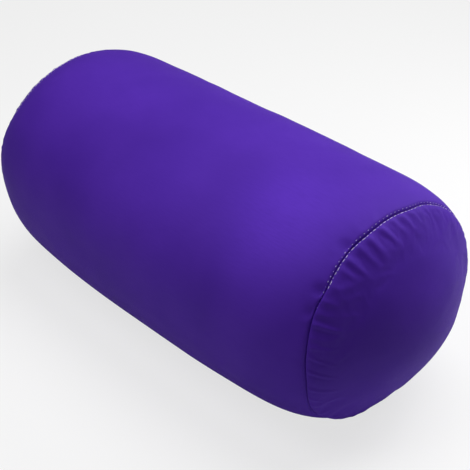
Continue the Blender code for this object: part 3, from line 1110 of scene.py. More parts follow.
@dataclass
class CoverBody:
    """The body panel: one rectangle of knit rolled round, sewn at both ends and open along the zip."""

    shape: FilledShape
    seam: EndSeam
    near: GatherRing
    far: GatherRing
    cloth: float = 0.0008
    slot_half_width: float = 0.0044
    slot_half_length: float = 0.104
    slot_end: float = 0.0035  # the length over which it closes at each end
    edge_half_gap: float = 0.00015
    hem_limit: float = 0.0120  # how far across the zip the fine columns reach
    hem_end: float = 0.006  # how far past the slot the hem ends
    hem_rise: float = 0.0005  # the edges at the zip are turned under, so they stand up a little
    hem_width: float = 0.0055
    hem_fade: float = 0.0035  # over what width it sinks back
    hem_round: float = 0.0008  # the rounding of its folded edge
    stitch_inset: float = 0.0020
    stitch_dip: float = 0.00045  # how deep the stitches draw the hem in
    stitch_width: float = 0.0004
    drawn: float = 0.00025  # the small waves that they draw into the cloth beside them
    drawn_inset: float = 0.0042
    drawn_width: float = 0.0018
    drawn_run: float = 0.0021  # the length in which a wave turns by one radian
    sides: int = 300
    even_edge: float = 0.02  # how far from an end seam the beads' lumps reach their full height
    turned_depth: float = 0.002  # from this deep on, the cloth in an end seam has no folds
    pulled: float = 0.30  # how much of an end panel's folds runs on into the body
    squeezed: float = 1.7  # how much sooner they end there
    dimples: tuple[Dimple, ...] = (
        Dimple(118.5, 0.0015, 0.010, 0.0050),
        Dimple(123.5, 0.0008, 0.006, 0.0030),
        Dimple(141.5, 0.0025, 0.009, 0.0040),
        Dimple(152.0, 0.0018, 0.007, 0.0035),
    )

    def slot(self, x: float) -> float:
        """Half the gap between the panel's two long edges."""
        closed = smooth((abs(x) - self.slot_half_length) / self.slot_end)
        return blend(self.slot_half_width, self.edge_half_gap, closed)

    def rows(self) -> list[tuple[float, float]]:
        """Distance along and inset of each row, towards +X. They are closest where the slot ends."""
        reach = self.shape.seam_reach
        along = steps(0.0, 0.1, 24)[1:] + steps(0.1, 0.112, 20)
        along += steps(0.112, 0.126, 4) + steps(0.126, reach - self.seam.roll, 17)
        half = [(x, 0.0) for x in along]
        half += [(reach - off, sunk) for off, sunk in self.seam.rolled(5)]
        half += [(reach, inset) for inset in self.seam.turned_in()]
        return [(-x, inset) for x, inset in reversed(half)] + [(0.0, 0.0)] + half

    def columns(self) -> list[tuple[Side | None, float]]:
        """Each column: a share of the hem beside the upper or lower edge, or an angle between them."""
        span = self.hem_limit - self.slot_half_width
        millimetres = (0.0, 0.1, 0.3, 0.6, 1.0, 1.4, 1.7, 2.0, 2.3, 2.7, 3.5, 4.6, 6.0)
        shares = [distance / 1000 / span for distance in millimetres]
        start = self.shape.angle_across(self.hem_limit)
        made: list[tuple[Side | None, float]] = [(Side.UPPER, share) for share in shares]
        made += [(None, angle) for angle in steps_to(start, math.tau - start, self.sides)]
        return made + [(Side.LOWER, share) for share in reversed(shares)]

    def angle(self, x: float, column: tuple[Side | None, float]) -> tuple[float, float]:
        """The angle of a column at this x, and its distance from the panel's edge."""
        side, value = column
        if side is None:
            return value, self.hem_limit
        distance = value * (self.hem_limit - self.slot(x))
        across = self.shape.angle_across(self.slot(x) + distance)
        return (across if side is Side.UPPER else math.tau - across), distance

    def hem(self, x: float, distance: float) -> float:
        """How far the cloth stands up beside the zip, with its rounded fold and the line of its stitches."""
        if distance >= self.hem_limit:
            return 0.0
        over = max(0.0, self.hem_round - distance)
        fold = self.hem_round - math.sqrt(self.hem_round**2 - over**2)
        at_zip = 1 - smooth((abs(x) - self.slot_half_length) / self.hem_end)
        stitched = self.stitch_dip * hump(distance - self.stitch_inset, self.stitch_width)
        wave = math.sin(x / self.drawn_run)
        drawn = self.drawn * wave * hump(distance - self.drawn_inset, self.drawn_width)
        raised = self.hem_rise * (1 - smooth((distance - self.hem_width) / self.hem_fade))
        return at_zip * (raised - stitched + drawn) - fold

    def puckers(self, x: float, angle: float, distance: float) -> float:
        """The shallow folds that the end panel's gathers pull into the body."""
        radius = self.shape.half_height
        ring = self.near if x > 0 else self.far
        dimples = self.dimples if x > 0 else ()
        pulled = self.pulled * ring.fold(angle, distance * self.squeezed, radius)
        return pulled - sum(dimple.sunk(angle, distance, radius) for dimple in dimples)

    def place(self, row: tuple[float, float], column: tuple[Side | None, float]) -> Vector:
        """The point of the panel in this row and column."""
        x, inset = row
        angle, from_edge = self.angle(x, column)
        point = self.shape.body_point(x, angle, inset)
        distance = self.shape.seam_reach - abs(x)
        end = End.NEAR if x > 0 else End.FAR
        shift = self.seam.strayed(end, angle, distance) - self.seam.opened(angle, distance, inset)
        lift = self.shape.lumps(point, angle) * smooth(distance / self.even_edge) + self.hem(x, from_edge)
        if inset < self.turned_depth:
            lift += self.puckers(x, angle, distance)
        point += self.shape.outwards(angle) * lift
        return Vector((point.x + end.value * shift, point.y, max(point.z, inset)))

    def flat(self, row: tuple[float, float], column: tuple[Side | None, float]) -> tuple[float, float]:
        """The same point on the flat panel."""
        x, inset = row
        angle, _ = self.angle(x, column)
        return self.shape.unrolled(x + math.copysign(inset, x), angle)

    def build(self, knit: bpy.types.Material) -> None:
        """Builds the panel."""
        data = laid_cloth("body_cover", self.rows(), self.columns(), self.place, self.flat)
        made = piece("body_cover", data, knit, "cover_body_panel")
        thicken(made, self.cloth)
        LOG.info("body cover: %d faces", len(data.polygons))


@dataclass
class EndPanel:
    """A domed end panel, gathered where it is sewn to the body, with its rim turned in."""

    end: End
    shape: FilledShape
    seam: EndSeam
    gathers: GatherRing
    cloth: float = 0.0008
    puff: float = 0.0009
    puffed: float = 0.0035  # distance from the seam at which it is at its fullest
    puff_reach: float = 0.020
    sag: float = 0.0018  # how much further the settled beads push out its lower part
    sagged: float = 0.005  # distance from the seam at which they push it furthest
    sag_reach: float = 0.045
    fold_start: float = 0.001  # the gathers rise from nothing at the seam to this distance
    lump_start: float = 0.015  # and the beads' lumps to this one
    even_middle: float = 0.4  # the share of the radius within which the lumps fade out again
    sides: int = 440
    settling: Settling = Settling()

    @property
    def radius(self) -> float:
        """Its radius at the seam."""
        return self.shape.half_width - self.shape.shoulder_drop - self.shape.barrel

    @property
    def flat_radius(self) -> float:
        """Its radius up to the seam, laid flat."""
        return self.shape.half_height * 1.1

    def rolled_row(self, off: float, sunk: float) -> tuple[float, float, float]:
        """The row this far from the seam and this deep."""
        return 1 - off / self.radius, sunk, off

    def rows(self) -> list[tuple[float, float, float]]:
        """Share of the radius, inset and distance from the seam of each row, towards +X."""
        shares = [0.0, 0.015] + steps(0.04, 0.60, 14) + steps(0.60, 1 - self.seam.roll / self.radius, 32)
        made = [(share, 0.0, (1 - share) * self.radius) for share in shares]
        made += [self.rolled_row(*rolled) for rolled in self.seam.rolled(6)]
        made += [(1.0, inset, 0.0) for inset in self.seam.turned_in()]
        return made if self.end is End.FAR else made[::-1]

    def place(self, row: tuple[float, float, float], column: float) -> Vector:
        """The point of the panel in this row and column."""
        share, inset, distance = row
        start = self.shape.seam_reach
        point = self.shape.crown_point(self.end, share, column, start, self.shape.crown, inset)
        point.x += self.end.value * (TOUCH + self.seam.strayed(self.end, column, distance))
        fold = self.gathers.fold(column, distance, self.shape.half_height)
        fold *= smooth(distance / self.fold_start)
        low = smooth((-math.sin(column) - 0.1) / 0.7)
        full = swell(self.puff, distance, self.puffed, self.puff_reach)
        full += swell(self.sag * low, distance, self.sagged, self.sag_reach)
        lumps = self.shape.lumps(point, column) * smooth(distance / self.lump_start)
        lumps *= smooth(share / self.even_middle)
        return point + self.shape.crown_outwards(self.end, share, column) * (lumps + full + fold)

    def flat(self, row: tuple[float, float, float], column: float) -> tuple[float, float]:
        """The same point on the flat disc."""
        share, inset, _ = row
        radius = self.flat_radius * share + inset
        return radius * math.cos(column), radius * math.sin(column)

    def from_seam(self, data: bpy.types.Mesh) -> list[float]:
        """Each point's distance from the seam, by its place on the flat disc. Turned in, it is below 0."""
        distances = [0.0] * len(data.vertices)
        flat = data.uv_layers[CLOTH_MAP].data
        for corner in data.loops:
            share = flat[corner.index].uv.length / self.flat_radius
            distances[corner.vertex_index] = self.radius * (1 - share)
        return distances

    def build(self, knit: bpy.types.Material) -> None:
        """Builds the panel."""
        name = self.end.label + "_end_cover"
        data = laid_cloth(name, self.rows(), once_round(self.sides), self.place, self.flat)
        made = piece(name, data, knit, "cover_end_panel_" + self.end.label)
        self.settling.run(made, self.from_seam(data))
        thicken(made, self.cloth)
        LOG.info("%s: %d faces", name, len(data.polygons))


@dataclass
class EndSeamThreads:
    """The stitches in an end seam, and the overlock loops over its raw edges inside."""

    end: End
    shape: FilledShape
    seam: EndSeam
    cover: CoverBody
    panel: EndPanel
    dash: Stitching = Stitching(pitch=0.0030, length=0.0021, radius=0.00025, uneven=0.7)
    dot: Stitching = Stitching(pitch=0.0033, length=0.0008, radius=0.00020, uneven=0.7)
    dash_off: float = 0.0008  # from the crease, on the end panel
    dot_off: float = 0.0006  # from the crease, on the body
    proud: float = 0.00008  # how far the middle of a stitch lies above the cloth
    overlock_pitch: float = 0.0024
    overlock_radius: float = 0.00016
    half_wide: float = 0.0015
    overlap: float = 0.0026  # how far the loops reach in from the raw edges
    past_edge: float = 0.0005  # how far they stand past them
    loop_corner: float = 0.0007
    panel_turn: float = 0.8  # how much the stitches on the end panel face along the bolster

    def line(self, on_panel: bool) -> list[tuple[Vector, Vector]]:
        """The line of the stitches on one side of the crease, which sinks in where the crease closes."""
        made = []
        for angle in steps(0.0, math.tau, 300):
            out = self.shape.outwards(angle)
            if on_panel:
                row = self.panel.rolled_row(self.dash_off, self.seam.sunk(self.dash_off))
                point = self.panel.place(row, angle)
                out = (out + Vector((self.end.value * self.panel_turn, 0.0, 0.0))).normalized()
            else:
                x = self.end.value * (self.shape.seam_reach - self.dot_off)
                point = self.cover.place((x, self.seam.sunk(self.dot_off)), (None, angle))
            buried = self.seam.inside(self.end, angle, self.seam.closed_depth)
            closed = self.seam.closed(angle, self.seam.shown_until)
            made.append(((point + out * self.proud).lerp(buried, closed), out))
        return made

    def build_stitches(self, thread: bpy.types.Material) -> None:
        """Builds the stitches that show in the seam: dashes on the end panel, and dots on the body."""
        name = self.end.label + "_seam_stitches"
        mesh = bmesh.new()
        self.dash.add_to(mesh, self.line(True), closed=True)
        self.dot.add_to(mesh, self.line(False), closed=True)
        data = mesh_data(name, mesh)
        piece(name, data, thread, self.end.label + "_end_seam_thread")
        LOG.info("%s: %d faces", name, len(data.polygons))

    def build_overlock(self, thread: bpy.types.Material) -> None:
        """Builds the looped thread over the two raw edges."""
        outer, inner = self.seam.allowance - self.overlap, self.seam.allowance + self.past_edge
        corner = inner - self.loop_corner
        loop = [(-1, outer), (-1, corner), (-0.6, inner), (0.6, inner), (1, corner), (1, outer)]
        length = math.tau * (self.shape.half_height - self.seam.allowance - self.shape.shoulder_drop)
        turns = round(length / self.overlock_pitch)
        points = []
        for turn in range(turns):
            for k, (wide, inset) in enumerate(loop):
                angle = math.tau * (turn + k / len(loop)) / turns
                point = self.seam.inside(self.end, angle, inset)
                point.x += wide * self.half_wide
                points.append(point)
        name = self.end.label + "_overlock_thread"
        loops = thread_curve(name, points, self.overlock_radius, closed=True, resolution=0)
        piece(name, loops, thread, self.end.label + "_end_overlock")
        LOG.info("%s: %d loops", name, turns)


# Casing and filling


@dataclass
class InnerCasing:
    """The white liner that holds the beads: a tube and two domed ends."""

    shape: FilledShape
    liner: float = 0.0006
    inset: float = 0.0012
    setback: float = 0.008
    rounding: float = 0.009
    rounding_power: float = 12.0
    zip_recess: float = 0.0019
    cover_gap: float = 0.0012
    crease: float = 0.0009  # how deep its slack creases are
    ease: float = 0.0006  # how deep the small folds in its ends are
    stitch_rise: float = 0.00045
    stitching: Stitching = Stitching(pitch=0.0036, length=0.0032, radius=0.00025)
    filling_gap: float = 0.0004
    hollow: float = 0.0010  # how deep the hollows among the outer beads are
    sides: int = 240

    @property
    def reach(self) -> float:
        """Distance from the middle to each of its end seams."""
        return self.shape.seam_reach - self.setback

    def depth(self, x: float, angle: float) -> float:
        """How far inside the cover's outside it lies."""
        rounding = self.rounding * (abs(x) / self.reach) ** self.rounding_power
        return self.inset + rounding + self.zip_recess * self.shape.zip_hold(angle)

    def dome(self, end: End, share: float, angle: float, more: float = 0.0) -> Vector:
        """Point of a domed end, this much further in."""
        height = self.shape.seam_reach + TOUCH + self.shape.crown - self.cover_gap - more - self.reach
        inset = self.depth(self.reach, angle) + more
        return self.shape.crown_point(end, share, angle, self.reach, height, inset)

    def creased(self, point: Vector, angle: float) -> Vector:
        """The point with the liner's small slack creases, which lie inwards."""
        crease = abs(noise.noise(Vector((point.x * 18, point.y * 55, point.z * 55))))
        return point - self.shape.outwards(angle) * (self.crease * crease * (1 - self.shape.zip_hold(angle)))

    def build_tube(self, cloth: bpy.types.Material) -> None:
        """Builds the tube."""

        def place(x: float, angle: float) -> Vector:
            """The point of the tube at this x and angle."""
            return self.creased(self.shape.body_point(x, angle, self.depth(x, angle)), angle)

        rows = both_ways(steps(0.0, 0.120, 24)[1:] + steps_to(0.120, self.reach, 12))
        data = laid_cloth("casing_tube", rows, once_round(self.sides), place, self.shape.unrolled)
        made = piece("casing_tube", data, cloth, "inner_casing_tube")
        thicken(made, self.liner)

    def build_end(self, end: End, cloth: bpy.types.Material, thread: bpy.types.Material) -> None:
        """Builds one domed end and the stitches round it."""

        def place(share: float, angle: float) -> Vector:
            """The point of the end at this share of its radius and this angle."""
            near_rim = smooth((share - 0.8) / 0.15) * smooth((1 - share) / 0.02)
            fold = abs(self.ease * math.cos(48 * angle) * near_rim)
            point = self.dome(end, share, angle) - self.shape.crown_outwards(end, share, angle) * fold
            point.x += end.value * TOUCH
            return point

        def flat(share: float, angle: float) -> tuple[float, float]:
            """The same point on the flat disc."""
            radius = share * self.shape.half_height
            return radius * math.cos(angle), radius * math.sin(angle)

        rows = [0.0, 0.02] + steps(0.05, 0.70, 13) + steps_to(0.70, 1.0, 18)
        name = end.label + "_casing_end"
        data = laid_cloth(name, rows[:: -end.value], once_round(288), place, flat)
        made = piece(name, data, cloth, end.label + "_inner_casing_end")
        thicken(made, self.liner)
        line = []
        for angle in steps(0.0, math.tau, 200):
            inset = self.depth(self.reach, angle) - self.stitch_rise
            point = self.shape.body_point(end.value * self.reach, angle, inset)
            point.x += end.value * TOUCH / 2
            line.append((point, self.shape.outwards(angle)))
        name = end.label + "_casing_stitches"
        stitches = self.stitching.sew(name, line, closed=True)
        piece(name, stitches, thread, end.label + "_casing_seam_thread")

    def build_filling(self, beads: bpy.types.Material) -> None:
        """Builds the mass of beads, which stands for the loose beads and the air between them."""
        more = self.liner + self.filling_gap
        ends = [0.0, 0.02] + steps(0.05, 1.0, 20)
        rows: list[tuple[End | None, float]] = [(End.FAR, share) for share in ends]
        rows += [(None, x) for x in both_ways(steps_to(0.0, self.reach, 36)[1:])]
        rows += [(End.NEAR, share) for share in reversed(ends)]

        def place(row: tuple[End | None, float], angle: float) -> Vector:
            """The point at this angle, by its share of an end's radius or by its x on the side."""
            end, value = row
            if end is None:
                point = self.shape.body_point(value, angle, self.depth(value, angle) + more)
                out = self.shape.outwards(angle)
            else:
                point = self.dome(end, value, angle, more)
                out = self.shape.crown_outwards(end, value, angle)
            return point - out * self.hollow * abs(noise.noise(point * 260.0))

        def flat(row: tuple[End | None, float], angle: float) -> tuple[float, float]:
            """A place for the same point on the flat map, which the beads' finish doesn't use."""
            return self.shape.unrolled(row[1], angle)

        data = laid_cloth("bead_mass", rows, once_round(256), place, flat)
        made = piece("bead_mass", data, beads, "bead_filling")
        LOG.info("beads: %d faces", len(data.polygons))


# Zip


@dataclass
class ZipFastener:
    """The coil zip in the back, in its own axes: along the bolster, down across the zip, and out."""

    shape: FilledShape
    cover: CoverBody
    chain_half_length: float = 0.098
    tape_half_length: float = 0.109
    tape_half_width: float = 0.0125
    tape: float = 0.0005
    tape_depth: float = 0.0011
    tape_inner: float = 0.00045
    clip_inner: float = 0.0004
    coil_inner: float = 0.0003
    coil_outer: float = 0.0026
    coil_bottom: float = -0.0008
    coil_top: float = 0.0006
    coil_pitch: float = 0.00112
    wire: float = 0.00026
    sewn_across: float = 0.0019  # how far across the stitches on a coil lie
    sewn_rise: float = 0.00004  # how high they lie on it
    sewn_inset: float = 0.001  # how far from the chain's ends they stop
    stop_length: float = 0.0025
    stop_wall: float = 0.0006
    stop_soft: float = 0.0003  # how far the bottom stop's edges are rounded
    clip_soft: float = 0.00014  # and those of the top stops
    box_half_length: float = 0.1085  # half the length of the box of stitches round the zip
    side_seam_start: float = 0.0012  # how far from the tape the side seam starts
    side_seam_stop: float = 0.0030  # and how far from the end seam it stops

    def build_tape(self, side: Side, woven: bpy.types.Material) -> None:
        """Builds one woven tape, under the edge of the cover."""
        across = steps_to(self.tape_inner, self.tape_half_width, 12)
        if side is Side.LOWER:
            across.reverse()
        columns = [-side.value * self.shape.angle_across(distance) for distance in across]
        rows = steps_to(-self.tape_half_length, self.tape_half_length, 110)

        def place(x: float, angle: float) -> Vector:
            """The point of the tape at this x and angle."""
            return self.shape.body_point(x, angle, self.tape_depth)

        name = "zip_tape_" + side.label
        data = laid_cloth(name + "_weave", rows, columns, place, self.shape.unrolled)
        made = piece(name + "_weave", data, woven, name)
        thicken(made, self.tape)

    def build_coil(self, side: Side, nylon: bpy.types.Material, thread: bpy.types.Material) -> None:
        """Builds one row of coil, and the stitches that hold it to its tape."""
        turns = round(2 * self.chain_half_length / self.coil_pitch)
        wide = (self.coil_outer - self.coil_inner) / 2 - self.wire
        high = (self.coil_top - self.coil_bottom) / 2 - self.wire
        middle = (self.coil_outer + self.coil_inner) / 2
        level = (self.coil_top + self.coil_bottom) / 2
        start = -self.chain_half_length + self.wire
        length = 2 * (self.chain_half_length - self.wire)
        count = 12 * turns
        points = []
        for i in range(count + 1):
            turn = math.tau * (i / 12 + (0.5 if side is Side.UPPER else 0.0))
            along = start + length * i / count
            out = level + high * math.sin(turn)
            points.append(self.shape.zip_point(along, side.value * (middle - wide * math.cos(turn)), out))
        name = "zip_coil_" + side.label
        piece(name + "_wire", thread_curve(name + "_wire", points, self.wire), nylon, name)
        reach = self.chain_half_length - self.sewn_inset
        across, rise = side.value * self.sewn_across, self.coil_top + self.sewn_rise
        line = [(self.shape.zip_point(along, across, rise), Vector((0, 1, 0))) for along in (-reach, reach)]
        stitches = Stitching(pitch=self.coil_pitch, length=0.00095, radius=0.00012)
        piece(name + "_stitches", stitches.sew(name + "_stitches", line), thread)
        LOG.info("%s: %d turns", name, turns)

    def build_stops(self, metal: bpy.types.Material) -> None:
        """Builds the two top stops and the bottom stop."""
        start = self.chain_half_length + TOUCH
        turn = Matrix(((0, 0, 1), (1, 0, 0), (0, 1, 0))).to_4x4()
        place = Matrix.Translation((start, 0, 0)) @ turn
        for side in Side:
            mesh = bmesh.new()
            add_plate(mesh, [self.clamp_outline(side)], 0.0, self.stop_length, self.clip_soft, place)
            self.seat(mesh)
            name = "zip_top_stop_" + side.label
            cast(name + "_clip", mesh, metal, name)
        mesh = bmesh.new()
        wide, end = self.coil_outer, start + self.stop_length
        outline = [(-end, -wide), (-start, -wide), (-start, wide), (-end, wide)]
        add_plate(mesh, [outline], self.coil_bottom, self.coil_top, self.stop_soft, Matrix.Identity(4))
        self.seat(mesh)
        cast("zip_bottom_stop_clip", mesh, metal, "zip_bottom_stop")

    def clamp_outline(self, side: Side) -> list[tuple[float, float]]:
        """The outline, across and out, of a strip bent round the inner edge of one tape."""
        inner, outer, wall = self.clip_inner, self.coil_outer, self.stop_wall
        above, below = self.coil_bottom, -self.tape_depth - self.tape - TOUCH
        outline = [
            (inner - wall / 2, above + 2 * wall),
            (inner - wall / 2, below - wall),
            (outer, below - wall),
            (outer, below),
            (inner, below),
            (inner, above),
            (outer, above),
            (outer, above + 2 * wall),
        ]
        return [(side.value * across, out) for across, out in outline]

    def seat(self, mesh: bmesh.types.BMesh) -> None:
        """Moves a mesh from the zip's own axes to its place in the frame."""
        middle = self.shape.zip_point(0.0, 0.0, 0.0)
        place = Matrix.Translation(middle) @ Matrix.Rotation(-math.pi / 2, 4, "X")
        bmesh.ops.transform(mesh, matrix=place, verts=mesh.verts)

    def build_topstitching(self, thread: bpy.types.Material) -> None:
        """Builds the box of stitches round the zip."""
        across, reach = self.cover.slot_half_width + self.cover.stitch_inset, self.box_half_length
        mesh = bmesh.new()
        stitches = Stitching(pitch=0.0031, length=0.0027, radius=0.00028)
        for side in Side:
            stitches.add_to(mesh, [self.on_cover(x, side.value * across) for x in (-reach, reach)])
        for x in (-reach, reach):
            stitches.add_to(mesh, [self.on_cover(x, off) for off in steps_to(-across, across, 4)])
        data = mesh_data("zip_topstitches", mesh)
        piece("zip_topstitches", data, thread, "zip_topstitching")

    def on_cover(self, x: float, across: float, rise: float = 0.00030) -> tuple[Vector, Vector]:
        """A point this high on the cover beside the zip, with the direction out of it."""
        angle = -self.shape.angle_across(across)
        out = self.shape.outwards(angle)
        return self.shape.body_point(x, angle) + out * rise, out

    def build_side_seam(self, end: End, thread: bpy.types.Material) -> None:
        """Builds the stitches that close the panel's two edges between the zip and an end."""
        start = self.tape_half_length + self.side_seam_start
        stop = self.shape.seam_reach - self.side_seam_stop
        line = [self.on_cover(end.value * x, 0.0, 0.00005) for x in steps_to(start, stop, 24)]
        name = end.label + "_side_stitches"
        data = Stitching(pitch=0.0031, length=0.0026, radius=0.00020).sew(name, line)
        piece(name, data, thread, end.label + "_side_seam_thread")


def softened(outline: list[tuple[float, float]], rounds: int = 2) -> list[tuple[float, float]]:
    """An outline with its corners cut off again and again, so that they are round.

    Args:
        outline: Its points.
        rounds: How often each corner is cut.

    Returns:
        The new points.
    """
    for _ in range(rounds):
        cut = []
        for (ax, ay), (bx, by) in zip(outline, outline[1:] + outline[:1]):
            cut += [(blend(ax, bx, 0.25), blend(ay, by, 0.25)), (blend(ax, bx, 0.75), blend(ay, by, 0.75))]
        outline = cut
    return outline


def add_plate(
    mesh: bmesh.types.BMesh,
    outlines: Sequence[Sequence[tuple[float, float]]],
    low: float,
    high: float,
    soft: float,
    place: Matrix,
) -> None:
    """Adds a flat plate with rounded edges.

    Args:
        mesh: Where it goes.
        outlines: Its outline, and its hole where it has one.
        low: The height of its underside.
        high: The height of its top.
        soft: How far its edges are rounded.
        place: Where it goes from its own axes.
    """
    own = bmesh.new()
    edges = []
    for outline in outlines:
        points = [own.verts.new((x, y, low)) for x, y in outline]
        edges += [own.edges.new(pair) for pair in zip(points, points[1:] + points[:1])]
    if len(outlines) == 1:
        faces = bmesh.ops.contextual_create(own, geom=edges)["faces"]
    else:
        faces = bmesh.ops.bridge_loops(own, edges=edges)["faces"]
    risen = bmesh.ops.extrude_face_region(own, geom=faces)["geom"]
    top = [item for item in risen if isinstance(item, bmesh.types.BMVert)]
    bmesh.ops.translate(own, verts=top, vec=(0, 0, high - low))
    bmesh.ops.recalc_face_normals(own, faces=own.faces)
    sharp = [edge for edge in own.edges if edge.calc_face_angle(0.0) > math.radians(20)]
    bmesh.ops.bevel(
        own, geom=sharp, offset=soft, affect="EDGES", segments=2, profile=0.5, material=-1, clamp_overlap=True
    )
    bmesh.ops.transform(own, matrix=place, verts=own.verts)
    data = bpy.data.meshes.new("plate")
    own.to_mesh(data)
    own.free()
    mesh.from_mesh(data)
    bpy.data.meshes.remove(data)


@dataclass
class SliderAndPull:
    """The slider that runs on the coils, and the pull that swings on its bridge."""

    zip: ZipFastener
    length: float = 0.0105
    wall: float = 0.0009
    plate: float = 0.0008
    neck_length: float = 0.0026
    neck_width: float = 0.0005
    taper: float = 0.82
    bridge_length: float = 0.0062
    bridge_width: float = 0.0022
    bridge_bar: float = 0.0010
    pivot_room: float = 0.0009
    pull_length: float = 0.024
    pull_width: float = 0.0056
    pull_tip_width: float = 0.0072
    pull_thickness: float = 0.0010
    pull_arm: float = 0.0010
    plate_soft: float = 0.00022  # how far its plates' edges are rounded
    lip_soft: float = 0.00012
    neck_soft: float = 0.00008
    bridge_soft: float = 0.00025
    pull_soft: float = 0.0002

    @property
    def plate_bottom(self) -> float:
        """Height of the top plate's underside."""
        return self.zip.coil_top + TOUCH

    @property
    def pivot_height(self) -> float:
        """Height of the pull's axis."""
        return self.plate_bottom + self.plate + self.pivot_room

    @property
    def rest(self) -> Matrix:
        """Where the slider stands when the zip is closed."""
        return Matrix.Translation((self.zip.chain_half_length - self.length / 2, 0, 0))

    def build_slider(self, metal: bpy.types.Material) -> None:
        """Builds the slider body."""
        mesh = bmesh.new()
        reach, half = self.length / 2, self.zip.coil_outer + TOUCH + self.wall
        waist = half * self.taper
        side = [(reach, half * 0.72), (reach * 0.55, half), (-reach * 0.1, half), (-reach * 0.85, waist)]
        side.append((-reach, waist * 0.85))
        outline = softened(side + [(x, -y) for x, y in reversed(side)])
        under = -self.zip.tape_depth - self.zip.tape - TOUCH
        for low in (self.plate_bottom, under - self.plate):
            add_plate(mesh, [outline], low, low + self.plate, self.plate_soft, self.rest)
        bite = self.plate / 2
        for sign in (1, -1):
            near, far = sorted((sign * (half - self.wall), sign * (half - TOUCH / 3)))
            lip = [(-reach * 0.05, near), (reach * 0.5, near), (reach * 0.5, far), (-reach * 0.05, far)]
            add_plate(mesh, [lip], self.zip.coil_bottom, self.plate_bottom + bite, self.lip_soft, self.rest)
        end, neck = reach - self.wall, self.neck_width / 2
        shoulder = end - 0.6 * self.neck_length
        post = [(end - self.neck_length, 0.0), (shoulder, -neck), (end, -neck), (end, neck), (shoulder, neck)]
        add_plate(mesh, [post], under - bite, self.plate_bottom + bite, self.neck_soft, self.rest)
        upright = self.rest @ Matrix.Rotation(math.pi / 2, 4, "X")
        wide = self.bridge_width / 2
        add_plate(mesh, [self.bridge_outline()], -wide, wide, self.bridge_soft, upright)
        self.zip.seat(mesh)
        made = cast("slider_body", mesh, metal, "zip_slider_body", Body.SLIDER)
        LOG.info("slider: %d faces", len(made.data.polygons))

    def bridge_outline(self) -> list[tuple[float, float]]:
        """The outline, along and out, of the arch that the pull hangs in."""
        legs, bar = self.bridge_length / 2, self.bridge_bar
        under = self.pivot_height + self.pivot_room
        top, foot, soft = under + bar, self.plate_bottom + self.plate / 2, bar * 0.6
        return [
            (-legs, foot),
            (-legs, top - soft),
            (-legs + soft, top),
            (legs - soft, top),
            (legs, top - soft),
            (legs, foot),
            (legs - bar, foot),
            (legs - bar, under),
            (-legs + bar, under),
            (-legs + bar, foot),
        ]

    def build_pull(self, metal: bpy.types.Material) -> None:
        """Builds the pull, lying back along the closed chain."""
        mesh = bmesh.new()
        bar = self.pull_thickness / 2
        eye = math.hypot(self.bridge_length / 2, self.pivot_room + self.bridge_bar) + TOUCH
        arm, tip = self.pull_width / 2, self.pull_tip_width / 2
        side = [
            (bar, arm * 0.8),
            (0, arm),
            (-eye - self.pull_arm, arm),
            (-eye - 3 * self.pull_arm, arm * 0.7),
            (-self.pull_length + tip, tip),
            (-self.pull_length + tip * 0.4, tip * 0.8),
            (-self.pull_length, tip * 0.3),
        ]
        outline = softened(side + [(x, -y) for x, y in reversed(side)])
        hole = arm - self.pull_arm
        inner = [(-bar, hole), (-bar, -hole), (-eye, -hole), (-eye, hole)]
        place = self.rest @ Matrix.Translation((0, 0, self.pivot_height))
        add_plate(mesh, [outline, inner], -bar, bar, self.pull_soft, place)
        self.zip.seat(mesh)
        cast("pull_tab", mesh, metal, "zip_pull_tab", Body.PULL)


# Studio


def aim(made: bpy.types.Object, place: Sequence[float], target: Sequence[float]) -> None:
    """Stands a camera or a lamp in its place, and turns it to its target."""
    made.location = place
    made.rotation_mode = "QUATERNION"
    made.rotation_quaternion = (Vector(target) - made.location).to_track_quat("-Z", "Y")


@dataclass(frozen=True)
class SoftLight:
    """A large soft white studio light that looks at the bolster."""

    name: str
    place: Triple
    size: float
    power: float
    target: Triple = (0.0, 0.0, 0.08)

    def build(self) -> None:
        """Hangs the light."""
        lamp = bpy.data.lights.new(self.name, "AREA")
        lamp.shape = "DISK"
        lamp.size = self.size
        lamp.energy = self.power
        made = put(self.name, lamp)
        aim(made, self.place, self.target)
        made.visible_camera = False


